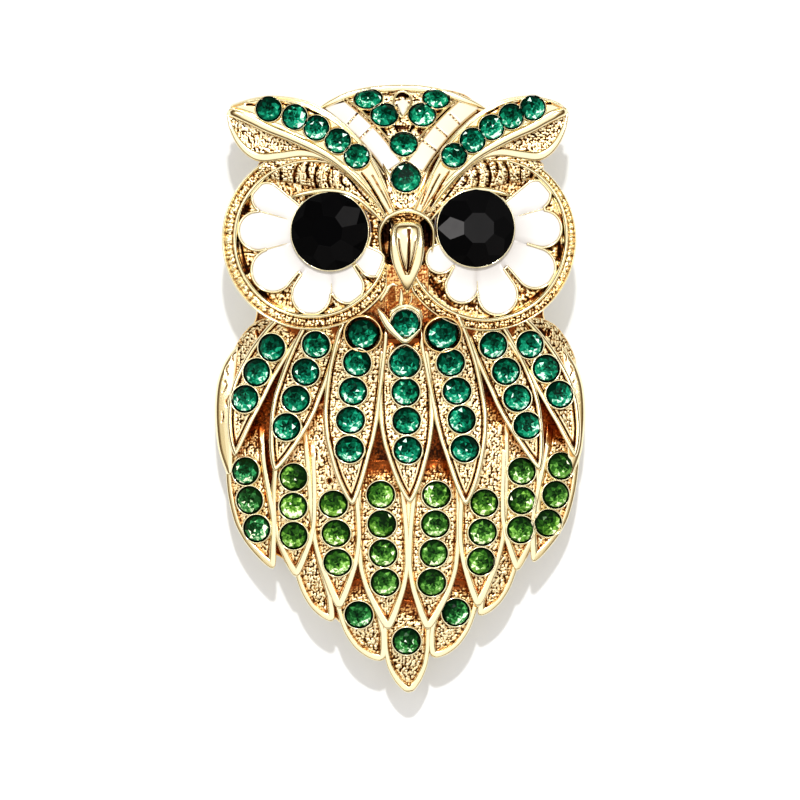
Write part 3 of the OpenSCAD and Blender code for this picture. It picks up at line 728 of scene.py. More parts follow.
class Graph:
    """A node tree under construction."""

    def __init__(self, tree: bpy.types.NodeTree) -> None:
        """Starts from an empty tree."""
        self.tree = tree
        tree.nodes.clear()

    @staticmethod
    def find(sockets: Sequence[bpy.types.NodeSocket], name: str) -> bpy.types.NodeSocket:
        """The socket of that identifier, or else of that name."""
        exact = [s for s in sockets if s.identifier == name]
        return (exact or [s for s in sockets if s.name == name])[0]

    def add(self, kind: str, settings: dict[str, object], sockets: dict[str, object]) -> Made:
        """Adds a node.

        Args:
            kind: the node's type.
            settings: its properties, set first; stops are the colours of a ramp.
            sockets: values or links of its inputs.
        Returns:
            The node.
        """
        node = self.tree.nodes.new(kind)
        for key, value in settings.items():
            if key == "stops":
                ramp = node.color_ramp
                while len(ramp.elements) < len(value):
                    ramp.elements.new(1.0)
                for element, (place, colour) in zip(ramp.elements, value):
                    element.position = place
                    element.color = (*colour, 1.0)
            else:
                setattr(node, key, value)
        for key, value in sockets.items():
            target = Graph.find(node.inputs, key)
            if isinstance(value, Link):
                self.tree.links.new(value.socket, target)
            elif isinstance(value, tuple) and len(value) == 3 and target.type == "RGBA":
                target.default_value = (*value, 1.0)
            else:
                target.default_value = value
        return Made(self, node)

    def place(self) -> Link:
        """The point's place in the piece, in metres."""
        return self.add("ShaderNodeTexCoord", {}, {})["Object"]

    def mark(self, name: str) -> Link:
        """A number that the mesh carries."""
        return self.add("ShaderNodeAttribute", {"attribute_name": name}, {})["Fac"]

    def noise(self, place: Link, pitch: float, detail: float = 2.0, rough: float = 0.5) -> Link:
        """Smooth noise from 0 to 1, with lumps of a pitch in millimetres."""
        values = {"Vector": place, "Scale": 1 / (pitch * MM), "Detail": detail, "Roughness": rough}
        return self.add("ShaderNodeTexNoise", {}, values)["Fac"]

    def blend(self, factor: "Link | float", first: "Link | Colour", second: "Link | Colour") -> Link:
        """The first colour at 0 and the second at 1."""
        sockets = {"Factor_Float": factor, "A_Color": first, "B_Color": second}
        return self.add("ShaderNodeMix", {"data_type": "RGBA"}, sockets)["Result_Color"]

    def ramp(self, factor: Link, stops: Sequence[tuple[float, Colour]]) -> Link:
        """The colour of a ramp at a value."""
        return self.add("ShaderNodeValToRGB", {"stops": tuple(stops)}, {"Fac": factor})["Color"]

    def bump(self, height: Link, depth: float, strength: float) -> Link:
        """A normal leaning with a height map that is depth millimetres deep."""
        sockets = {"Height": height, "Distance": depth * MM, "Strength": strength}
        return self.add("ShaderNodeBump", {}, sockets)["Normal"]

    def surface(self, sockets: dict[str, object]) -> None:
        """Ends the tree with the main shader and the output."""
        shader = self.add("ShaderNodeBsdfPrincipled", {}, sockets)["BSDF"]
        self.add("ShaderNodeOutputMaterial", {}, {"Surface": shader})


def new_material(name: str) -> tuple[bpy.types.Material, Graph]:
    """A material and its empty graph."""
    made = bpy.data.materials.new(name)
    made.use_nodes = True
    return made, Graph(made.node_tree)


@dataclass(frozen=True)
class Finish:
    """A material and the name of its slot."""

    material: bpy.types.Material
    slot: str

    def dress(
        self, patches: "Patch | Sequence[Patch]", name: str, *replaced: str, sharp: float | None = None,
    ) -> bpy.types.Object:
        """Makes a piece.

        Args:
            patches: its surface, or several that are joined.
            name: its name.
            replaced: the nodes that it stands for, which are hidden.
            sharp: as for Patch.as_object.
        Returns:
            The piece, fixed to the brooch.
        """
        patch = patches if isinstance(patches, Patch) else Patch.joined(patches)
        piece = patch.as_object(name, self.material, sharp)
        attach(piece, BODY)
        if replaced:
            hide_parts(*replaced)
        LOG.info("%s: %d faces", piece.name, len(piece.data.polygons))
        return piece


@dataclass(frozen=True)
class Gilding:
    """Bright pale gold plate, dark brown and orange in its crevices as painted shade and bright on its ridges as a
    painted highlight, with a finely grained ground.
    """

    name: str
    # bright is a painted highlight on ridges; warm, amber, grain_shade and dark are painted shade, orange to dark
    # brown, in crevices, between grains and in pits.
    bright: Colour = (1.0, 0.91, 0.61)
    pale: Colour = (1.0, 0.83, 0.47)
    warm: Colour = (0.96, 0.62, 0.24)
    amber: Colour = (0.44, 0.095, 0.014)
    grain_shade: Colour = (0.37, 0.14, 0.022)
    dark: Colour = (0.018, 0.006, 0.003)
    polish: float = 0.13
    cloud_pitch: float = 5.0
    grain_pitch: float = 0.21

    def material(self) -> bpy.types.Material:
        """Colour by depth of relief, broken by noise: painted shade in crevices and pits, a painted highlight on
        ridges;
        roughness and bump by grain.
        """
        made, g = new_material(self.name)
        place, relief, grain = g.place(), g.mark("relief"), g.mark("grain")
        cloud = g.noise(place, self.cloud_pitch)
        speck = g.noise(place, self.grain_pitch, 3.0, 0.65)
        fine = g.noise(place, 0.09)
        # Dark pits in the grained ground: painted shade.
        pits = (speck - 0.5) * 5.0 * grain
        depth = (relief + 0.08 * (cloud - 0.5) + 0.35 * pits).limited()
        smooth = g.ramp(depth, (
            (0.03, self.dark), (0.16, self.amber), (0.30, self.warm), (0.44, self.pale), (0.68, self.bright)))
        grained = g.ramp(depth, (
            (0.13, self.dark), (0.26, self.grain_shade), (0.36, self.warm), (0.45, self.pale), (0.60, self.bright)))
        colour = g.blend((1.4 * grain).limited(), smooth, grained)
        rough = self.polish + 0.12 * grain + 0.07 * (cloud - 0.4) + 0.10 * (1 - relief)
        height = grain * speck + 0.05 * fine
        g.surface({
            "Base Color": colour, "Metallic": 1.0, "Roughness": rough.limited(),
            "Normal": g.bump(height, 0.10, 0.8),
        })
        return made


@dataclass(frozen=True)
class Enamel:
    """Fired opaque enamel: glossy, nearly even, with a soft wave and a few pinholes."""

    name: str
    colour: Colour
    shade: Colour

    def material(self) -> bpy.types.Material:
        """Two close tones blended by slow noise and by the relief mark, the second tone being painted shade where the
        relief is low.
        """
        made, g = new_material(self.name)
        place, relief = g.place(), g.mark("relief")
        wave = g.noise(place, 2.4, 1.0)
        pinholes = g.noise(place, 0.12)
        # The shade colour is painted shade where the relief mark is low.
        tone = (0.25 * (wave - 0.4) + 0.9 * (1 - relief)).limited()
        g.surface({
            "Base Color": g.blend(tone, self.colour, self.shade), "Roughness": (0.10 + 0.12 * wave).limited(),
            "Coat Weight": 0.6, "Coat Roughness": 0.06,
            "Normal": g.bump(wave + 0.04 * pinholes, 0.05, 0.5),
        })
        return made


@dataclass(frozen=True)
class FoiledGlass:
    """Cut glass over foil: each facet is painted dark or bright, as light and shade would fall on it, with painted
    glints.
    """

    name: str
    dark: Colour
    body: Colour
    lit: Colour
    # the colour of painted glints
    flash: Colour
    other_body: Colour
    other_lit: Colour

    def material(self) -> bpy.types.Material:
        """The facet's own painted brightness picks the colour; tint leans it to a second glass."""
        made, g = new_material(self.name)
        fire, tint = g.mark("fire"), g.mark("tint")
        swirl, spark = g.noise(g.place(), 0.34, 3.0, 0.6), g.noise(g.place(), 0.22, 1.0)
        # glow: each facet's painted light and shade, with painted glints where the fine spark noise peaks.
        glow = (fire + 1.5 * (swirl - 0.5) * (fire + 0.12) + 8.0 * (spark - 0.70).limited() * fire).limited()
        first, second = (
            g.ramp(glow, ((0.10, self.dark), (0.40, body), (0.74, lit), (0.95, self.flash)))
            for body, lit in ((self.body, self.lit), (self.other_body, self.other_lit))
        )
        colour = g.blend(tint, first, second)
        # The brightest facets glow: a painted light, not a lamp.
        g.surface({
            "Base Color": colour, "Roughness": (0.12 + 0.10 * swirl).limited(), "Specular IOR Level": 0.02,
            "Emission Color": g.blend((glow ** 3.0).limited(), (0.0, 0.0, 0.0), colour), "Emission Strength": 0.5,
            "Normal": g.bump(swirl, 0.02, 0.3),
        })
        return made


@dataclass(frozen=True)
class BlackGlass:
    """Deep black glass with crisp facets, some of which carry a painted grey reflection."""

    name: str

    def material(self) -> bpy.types.Material:
        """Nearly black, greyer by the facet's own mark, a painted reflection, with a faint cloud and fine polishing
        marks.
        """
        made, g = new_material(self.name)
        place, fire = g.place(), g.mark("fire")
        cloud, fine = g.noise(place, 1.5), g.noise(place, 0.06)
        tone = (fire * (0.85 + 0.3 * cloud)).limited()
        g.surface({
            "Base Color": g.blend(tone, (0.0012, 0.0012, 0.0014), (0.085, 0.085, 0.09)),
            "Roughness": (0.05 + 0.05 * cloud).limited(), "Specular IOR Level": 0.006,
            "Normal": g.bump(fine, 0.003, 0.2),
        })
        return made


@dataclass(frozen=True)
class Tabletop:
    """A plain pale surface that glows a little, as a lit sweep does."""

    name: str
    colour: Colour = (0.588, 0.598, 0.612)
    glow: float = 0.46

    def material(self) -> bpy.types.Material:
        """An almost even matt white."""
        made, g = new_material(self.name)
        cloud = g.noise(g.place(), 60.0)
        colour = g.blend((0.25 * cloud).limited(), self.colour, (0.578, 0.588, 0.602))
        g.surface({
            "Base Color": colour, "Roughness": 0.9, "Specular IOR Level": 0.0,
            "Emission Color": colour, "Emission Strength": self.glow,
        })
        return made


# Tables

BREAST = (
    Leaf((-0.575, 0.218), (-0.871, 0.018), (-0.887, -0.222), 0.092, 3, 0.39),
    Leaf((-0.398, 0.218), (-0.571, -0.036), (-0.675, -0.271), 0.116, 4, 0.29),
    Leaf((-0.177, 0.232), (-0.305, -0.072), (-0.255, -0.383), 0.142, 5, 0.295),
    Leaf((0.022, 0.166), (0.032, -0.102), (0.054, -0.376), 0.138, 4, 0.32),
    Leaf((0.199, 0.232), (0.369, -0.072), (0.353, -0.383), 0.136, 5, 0.296),
    Leaf((0.43, 0.218), (0.634, 0.002), (0.753, -0.268), 0.112, 4, 0.29),
    Leaf((0.585, 0.222), (0.897, 0.02), (0.944, -0.225), 0.09, 3, 0.42),
)
RING_PIT = (Stroke.through(329, 481, 329.5, 481.5, 330, 481, 0.6, -0.25),)
SKIRT = (
    Leaf((-0.828, -0.136), (-0.852, -0.372), (-0.68, -0.592), 0.096, 3, 0.303, back=0.04),
    Leaf((-0.559, -0.136), (-0.581, -0.388), (-0.559, -0.619), 0.102, 3, 0.282, back=0.04),
    Leaf((-0.419, -0.103), (-0.325, -0.417), (-0.328, -0.724), 0.114, 3, 0.246, RING_PIT, back=0.14),
    Leaf((-0.108, -0.235), (-0.098, -0.514), (-0.062, -0.793), 0.118, 4, 0.282),
    Leaf((0.199, -0.235), (0.192, -0.514), (0.148, -0.793), 0.118, 4, 0.282),
    Leaf((0.478, -0.11), (0.444, -0.417), (0.419, -0.718), 0.11, 3, 0.248, back=0.14),
    Leaf((0.64, -0.136), (0.667, -0.365), (0.629, -0.599), 0.092, 3, 0.293, back=0.04),
    Leaf((0.88, -0.136), (0.864, -0.353), (0.715, -0.57), 0.087, 3, 0.305, back=0.04),
)
TAIL = (
    Leaf((-0.51, -0.498), (-0.5, -0.647), (-0.36, -0.764), 0.08),
    Leaf((-0.249, -0.629), (-0.243, -0.773), (-0.088, -0.892), 0.112, 1, 0.6),
    Leaf((0.331, -0.629), (0.315, -0.765), (0.173, -0.882), 0.108, 1, 0.61),
    Leaf((0.585, -0.498), (0.56, -0.639), (0.425, -0.745), 0.074),
    Leaf((0.043, -0.695), (0.025, -0.836), (0.051, -1.0), 0.13, 1, 0.564),
)
THROAT = Leaf((0.03, 0.275), (0.03, 0.22), (0.027, 0.158), 0.094, 1, 0.5)
STRIPES = (
    Leaf((-0.02, 0.71), (-0.16, 0.847), (-0.37, 0.938), 0.054),
    Leaf((0.065, 0.71), (0.204, 0.854), (0.387, 0.938), 0.054),
)
BROWS = (
    Leaf((-0.048, 0.573), (-0.345, 0.945), (-0.915, 0.922), 0.1, 5, 0.225),
    Leaf((0.091, 0.573), (0.45, 0.953), (0.88, 0.918), 0.1, 5, 0.195),
)
LOBES = (
    Leaf((-0.36, 0.77), (-0.75, 0.775), (-0.91, 0.905), 0.105),
    Leaf((0.38, 0.765), (0.75, 0.775), (0.876, 0.903), 0.105),
)
LASHES = (
    Leaf((-0.06, 0.547), (-0.414, 0.773), (-0.765, 0.715), 0.088),
    Leaf((0.1, 0.547), (0.449, 0.773), (0.77, 0.715), 0.088),
)
BROW_STONES = (
    ((269.5, 109.5), (295.5, 117.5), (317, 128.5), (338.5, 141.5), (357.5, 157)),
    ((532, 108.5), (510.5, 117), (491, 128), (472, 141), (453.5, 156)),
)
STRIPE_LINE = 0.16
CELLS = (((0.05, 0.517), (0.517, 0.72), (0.72, 0.98)), ((0.05, 0.32), (0.32, 0.517), (0.517, 0.723), (0.723, 0.98)))
CROWN_AT = ((-0.169, 0.946), (-0.082, 0.893), (0.193, 0.947), (0.118, 0.893), (0.02, 0.798), (0.032, 0.685))
DROP_AT = (0.016, 0.932)
DISC_AT = ((-0.468, 0.491), (0.457, 0.488))
EYE_AT = ((-0.368, 0.515), (0.398, 0.526))
# Each petal's round end as (x, y, radius) of the photograph in pixels; how far the enamel reaches between two
# neighbours, in millimetres from the eye; and how far in the wire between them runs, or zero for none.
PETALS = (
    ((267, 198, 15), (258, 231, 19.5), (273, 270.5, 21.5), (312, 295, 19.5), (348.5, 287, 16.5), (374, 263.5, 13.5)),
    ((536, 195, 14.5), (543, 229, 18.5), (535, 268, 20.5), (497, 295, 20), (461, 286.5, 16.5), (439, 259, 14.5)),
)
CUSPS = ((7.55, 6.75, 5.2, 6.3, 4.2), (7.3, 5.5, 5.05, 6.35, 4.4))
SEAMS = ((4.3, 4.4, 0, 5.2, 0), (4.2, 0, 0, 5.3, 0))
# Cuts in the floors of the discs, painted dark as shade: three points of the photograph in pixels and a width in
# millimetres.
DARK_MARKS = (
    ((248, 197, 246.5, 205, 244.5, 214, 0.5), (240.5, 238, 241, 256, 247, 272, 0.42),
     (261, 291, 270, 303, 286, 312, 0.5), (318, 313.5, 336, 317, 354, 310.5, 0.36),
     (366, 302, 374, 296, 382, 286, 0.85), (367, 275, 370, 280, 377, 283, 0.5), (330, 306, 332, 307, 334, 306, 0.4),
     (258, 258, 259, 262, 257, 266, 0.3), (300, 306, 296, 300, 294, 296, 0.25)),
    ((559.5, 243, 561, 251, 559.5, 259, 0.55), (524, 303, 536, 297, 545, 289, 0.35),
     (506, 315.5, 518, 311, 530, 303, 0.25), (470, 305, 472.5, 306.5, 475, 305, 0.35),
     (430, 280, 435, 287, 441, 293, 0.8), (438, 294, 446, 303, 456, 308, 0.26),
     (549, 190, 551, 196, 550, 203, 0.3), (526, 290, 524, 293, 520, 294, 0.3), (552, 250, 549, 247, 547, 248, 0.25)),
)
BEAK_SLOTS = (Stroke.through(387, 226, 386, 240, 392.5, 257, 1.7, -0.9),
              Stroke.through(427, 226, 428, 240, 422.5, 257, 1.6, -0.9))
# Radii of a disc's plate: where its floor ends and its rim starts, and the band of grains on the rim.
FLOOR_R, RIM_R, BAND_IN, BAND_R, BAND_OUT = 7.55, 7.97, 8.02, 8.4, 8.79
# Grains rise from the floor outside BED_IN, its tone is even outside BED_OUT, and its dark marks are this deep.
BED_IN, BED_OUT, MARK_DEPTH = 4.2, 7.25, 0.4
# The plate as (radius, height): floor, inner wire, the band of grains, lip, wall and back.
PLATE = np.array([
    *((r, 0.0) for r in (0.01, 2.0, 3.6, 4.1, 4.35, 4.6, 4.85, 5.1, 5.3, 5.5, 5.7, 5.88, 6.06, 6.24, 6.42, 6.6, 6.76,
                         6.92, 7.06)),
    (7.2, -0.02), (7.32, -0.06), (7.42, -0.1), (7.5, -0.12), (7.56, 0.1), (7.58, 0.5), (7.62, 0.74), (7.7, 0.88),
    (7.8, 0.93), (7.9, 0.88), (RIM_R, 0.74), (8.0, 0.55), (8.05, 0.52),
    *((r, 0.55) for r in (8.13, 8.21, 8.29, 8.37, 8.45, 8.53, 8.61, 8.69, 8.76)),
    (8.8, 0.56), (8.84, 0.7), (8.9, 0.82), (8.97, 0.88), (9.04, 0.88), (9.1, 0.78), (9.14, 0.6), (9.15, 0.2),
    (9.13, -0.5), (9.08, -1.4), (9.0, -2.1), (8.85, -2.28),
    *((r, -DISC_T) for r in (8.5, 6.0, 3.0, 0.01)),
])
# The painted light and shade (fire) of a small stone's facets by kind: five of the table, then a star, two main and two
# girdle facets.
FACET_FIRE = (-0.16, -0.12, -0.05, -0.05, 0.05, 0.08, 0.10, 0.10, -0.08, -0.08)
# The mean painted fire of a small stone, how much its lower side has more as painted light, the scatter from facet
# to facet and from stone to stone, the share of facets that flash as painted glints, and the fire of its rim, painted
# dark as shade.
FIRE_MEAN, FIRE_SLOPE, FACET_SCATTER, STONE_SCATTER, FLASH_SHARE, RIM_FIRE = 0.37, 0.42, 0.14, 0.05, 0.014, 0.02
# Slits of the crown: three points of the photograph in pixels and a width in millimetres.
CROWN_SLITS = (
    (403, 85.5, 406, 85, 410, 86, 0.2), (383, 91, 388, 89, 392, 90.5, 0.28), (411, 90.5, 416, 89, 423, 91.5, 0.28),
    (341, 101, 348, 94, 360, 91, 0.4), (452, 97, 460, 101, 468, 107, 0.3), (397, 128, 402, 127, 408, 128.5, 0.4),
    (396.5, 96, 402, 93, 407.5, 96, 0.5), (382, 130, 383, 132, 385, 133, 0.4), (420, 132, 421, 134, 423, 135, 0.4),
    (334, 103, 340, 99, 349, 97, 0.8), (352, 108, 356, 112, 362, 118, 0.5), (468, 103, 460, 99, 452, 97, 0.7),
    (448, 108, 444, 113, 438, 119, 0.5), (375, 106, 380, 104, 384, 106, 0.35), (424, 105, 427, 103, 431, 105, 0.35),
    (393, 122, 396, 128, 399, 134, 0.3), (415, 121, 412, 127, 409, 134, 0.3), (376, 131, 385, 141, 393, 153, 0.25),
    (431, 131, 423, 141, 415, 152, 0.25),
)
# Cuts of the left brow, and lines of its scroll: three points of the photograph, width and rise.
BROW_SLITS = (
    (362, 174, 374, 190, 385, 212, 0.26, -0.5), (372, 176, 381, 190, 390, 208, 0.16, -0.35),
    (381, 178, 387, 190, 393, 205, 0.2, -0.4), (247, 105, 252, 104, 258, 107, 0.3, -0.3),
    (283, 104, 288, 106, 293, 107, 0.3, -0.35), (306, 109, 312, 111, 318, 115, 0.35, -0.4),
)
SCROLL_LINES = (
    (300, 163, 289, 176, 299, 191, 0.30, -0.6), (310, 162, 304, 170, 309, 178, 0.26, -0.5),
    (321, 162, 309, 178, 321, 194, 0.32, -0.6), (334, 166, 324, 176, 331, 190, 0.26, -0.5),
    (331, 190, 338, 196, 347, 197, 0.22, -0.4), (267, 170, 267, 173, 269, 178, 0.45, -0.6),
    (290, 184, 290, 189, 293, 194, 0.45, -0.6), (305, 164, 296, 176, 305, 191, 0.24, 0.2),
    (327, 164, 316, 178, 326, 194, 0.24, 0.2), (341, 169, 332, 178, 339, 191, 0.22, 0.2),
    (342, 177, 339, 183, 346, 187, 0.26, -0.4), (279, 166, 283, 176, 279, 188, 0.24, -0.4),
    (347, 176, 356, 188, 368, 202, 0.24, -0.4), (354, 196, 364, 203, 374, 214, 0.26, -0.45),
)
# The ribs of the left side: the power of each one's section, and rows of (x, y) of the photograph, lift, half
# width and height.
SIDE_RIBS = (
    # The upper edge of the brow.
    (0.6, ((229, 110.5, 1.1, 0.05, 0.1), (241, 104, 1.3, 0.12, 0.22), (262, 99.5, 1.4, 0.14, 0.3),
           (284, 101, 1.4, 0.14, 0.32), (305, 106.5, 1.4, 0.14, 0.34), (328, 118, 1.4, 0.14, 0.34),
           (348, 133, 1.4, 0.14, 0.34), (364, 149, 1.4, 0.14, 0.34), (376, 167, 1.35, 0.14, 0.32),
           (385, 186, 1.2, 0.12, 0.3), (392, 206, 0.9, 0.1, 0.25))),
    # The wide polished rib under the stones, with a blunt arris.
    (1.0, ((227.5, 113, 0.7, 0.1, 0.2), (231, 113, 0.95, 0.42, 0.4), (241, 114.5, 1.15, 0.66, 0.5),
           (253, 120, 1.2, 0.64, 0.52), (268, 128, 1.25, 0.58, 0.52),
           (290, 137, 1.3, 0.54, 0.54), (312, 147, 1.3, 0.52, 0.52), (330, 157, 1.25, 0.46, 0.5),
           (346, 169.5, 1.2, 0.36, 0.42), (360, 183.5, 1.1, 0.26, 0.34), (373, 198, 0.95, 0.2, 0.3),
           (386, 215, 0.7, 0.1, 0.2))),
    # The lower rim of the ear tuft, which runs on below the brow to the beak.
    (0.55, ((227.5, 113, 0.6, 0.08, 0.2), (231.3, 127, 0.8, 0.24, 0.3), (239, 142, 0.85, 0.34, 0.34),
           (250, 153, 0.85, 0.42, 0.36), (262, 157.5, 0.85, 0.46, 0.36), (280, 156, 0.85, 0.44, 0.36),
           (302, 153.5, 0.85, 0.42, 0.36), (322, 157, 0.9, 0.34, 0.36), (340, 168, 0.9, 0.26, 0.34),
           (356, 182, 0.85, 0.2, 0.32), (371, 198, 0.7, 0.16, 0.3), (384, 216, 0.5, 0.08, 0.2))),
    # The wire over the eye.
    (0.6, ((287, 198, 0.4, 0.05, 0.1), (297, 195.5, 0.55, 0.18, 0.25), (310, 192.5, 0.65, 0.27, 0.36),
           (326, 190.5, 0.7, 0.29, 0.4), (343, 192.5, 0.75, 0.25, 0.4), (359, 200, 0.75, 0.2, 0.36),
           (373, 211.5, 0.7, 0.16, 0.3), (384, 224, 0.6, 0.08, 0.2))),
    # Thin lines between the brow and the beak.
    (0.6, ((350, 177, 0.75, 0.06, 0.15), (365, 191, 0.8, 0.11, 0.25), (378, 207, 0.75, 0.1, 0.22),
           (386, 221, 0.5, 0.05, 0.15))),
    (0.6, ((368, 172, 1.45, 0.06, 0.12), (377, 188, 1.4, 0.12, 0.22), (388, 210, 1.1, 0.06, 0.15))),
)
# The right half of the outline, from the crown to the tail, as shares of the half width and half length.
OUTLINE = (
    (0, 0.98), (0.2, 0.968), (0.39, 0.932), (0.57, 0.878), (0.72, 0.79), (0.79, 0.7), (0.86, 0.64), (0.91, 0.56),
    (0.925, 0.48), (0.9, 0.39), (0.845, 0.31), (0.775, 0.262), (0.8, 0.2), (0.88, 0.13), (0.94, 0.05),
    (0.965, -0.04), (0.96, -0.14), (0.935, -0.25), (0.89, -0.36), (0.83, -0.45), (0.75, -0.52), (0.63, -0.56),
    (0.54, -0.62), (0.48, -0.69), (0.36, -0.75), (0.25, -0.81), (0.12, -0.865), (0.04, -0.905), (0.01, -0.935),
)


class Side(Enum):
    """A side of the face, as seen from above."""

    LEFT = 0
    RIGHT = 1

    def place(self, x: float, y: float) -> tuple[float, float]:
        """The place of a point that is given on the left half of the head."""
        return seen(x, y) if self is Side.LEFT else seen_right(x, y)


def stroke_at(side: Side, row: Sequence[float]) -> Stroke:
    """A stroke through points of the photograph's left half, or their answers on the right."""
    return Stroke(*(side.place(*row[k:k + 2]) for k in (0, 2, 4)), *row[6:])


def ridge_at(side: Side, rows: Sequence[tuple], base: Height, power: float = 0.6) -> Ridge:
    """A rib through points of the photograph's left half, or their answers on the right; the other columns stay."""
    return Ridge(tuple((*side.place(*row[:2]), *row[2:]) for row in rows), base, power)


# Sub-assemblies


@dataclass
class Shell:
    """The domed shell with its hollow back."""

    gilding: Finish
    around: int = 288
    rings: int = 44
    back_rings: int = 26
    head_y: float = 2.5

    def outline(self, inset: float) -> Array:
        """The outline as a smooth closed curve, moved inwards along its normals, but never across the middle."""
        right = full_size(OUTLINE)
        left = right[:0:-1] * [-1, 1]
        line = smooth_through(np.vstack([right, left]), self.around, closed=True)
        way = np.roll(line, -1, 0) - np.roll(line, 1, 0)
        normal = left_of(way)
        if np.einsum("ij,ij->", normal, line) > 0:
            normal = -normal
        moved = line + inset * normal
        moved[:, 0] = np.where(moved[:, 0] * line[:, 0] < 0, 0, moved[:, 0])
        return moved

    def build(self) -> None:
        """Rings of the outline scaled to the middle make the top; then its rounded shoulder, wall, foot and the
        hollow, back to the middle."""
        edge, discs, rows, marks = self.outline(0.0), [Disc(side) for side in Side], [], []
        for share in np.linspace(0.0, 0.985, self.rings) ** 0.8:
            x, y = (edge * max(share, 0.002)).T
            z = shell_z(x, y) + 0.1 * grains(x, y, 0.4, 31) * (y > self.head_y)
            for disc in discs:
                under = np.hypot(x - disc.centre[0], y - disc.centre[1]) < DISC_R - 0.6
                z = np.where(under, np.minimum(z, face_z(x, y) - 0.35), z)
            rows.append(zipped(x, y, z))
            # The ground between the feathers has a low relief, painted dark amber as shade, a little brighter on the
            # head.
            marks.append(np.clip(0.085 + 0.07 * ripple(x, y, 0.9, 3) + 0.1 * (y > self.head_y), 0, 0.6))
        # Inset, share of the height, and relief of the rows down the wall and under the foot.
        for inset, share, mark in ((0.02, 0.985, 0.5), (0.0, 0.93, 0.8), (0.0, 0.6, 0.85), (0.0, 0.2, 0.8),
                                   (0.05, 0.06, 0.7), (0.2, 0.0, 0.6), (WALL - 0.2, 0.0, 0.6),
                                   (WALL - 0.03, 0.05, 0.6)):
            x, y = self.outline(inset).T
            rows.append(zipped(x, y, shell_z(x, y) * share))
            marks.append(np.full(self.around, mark))
        hollow = self.outline(WALL)
        for share, level_share in ((1.0, 0.5), (1.0, 0.92), (0.985, 0.99)):
            x, y = (hollow * share).T
            rows.append(zipped(x, y, inner_z(x, y) * level_share))
            marks.append(np.full(self.around, 0.6))
        for share in np.linspace(0.96, 0.002, self.back_rings):
            x, y = (hollow * share).T
            rows.append(zipped(x, y, inner_z(x, y) + 0.04 * ripple(x, y, 1.1, 9)))
            marks.append(0.55 + 0.2 * ripple(x, y, 1.3, 5))
        relief = np.stack(marks)
        grain = np.zeros_like(relief)
        grain[: self.rings], grain[-self.back_rings:] = 0.3, 0.5
        self.gilding.dress(lofted(np.stack(rows), relief, grain), "shell", "casting", sharp=60)


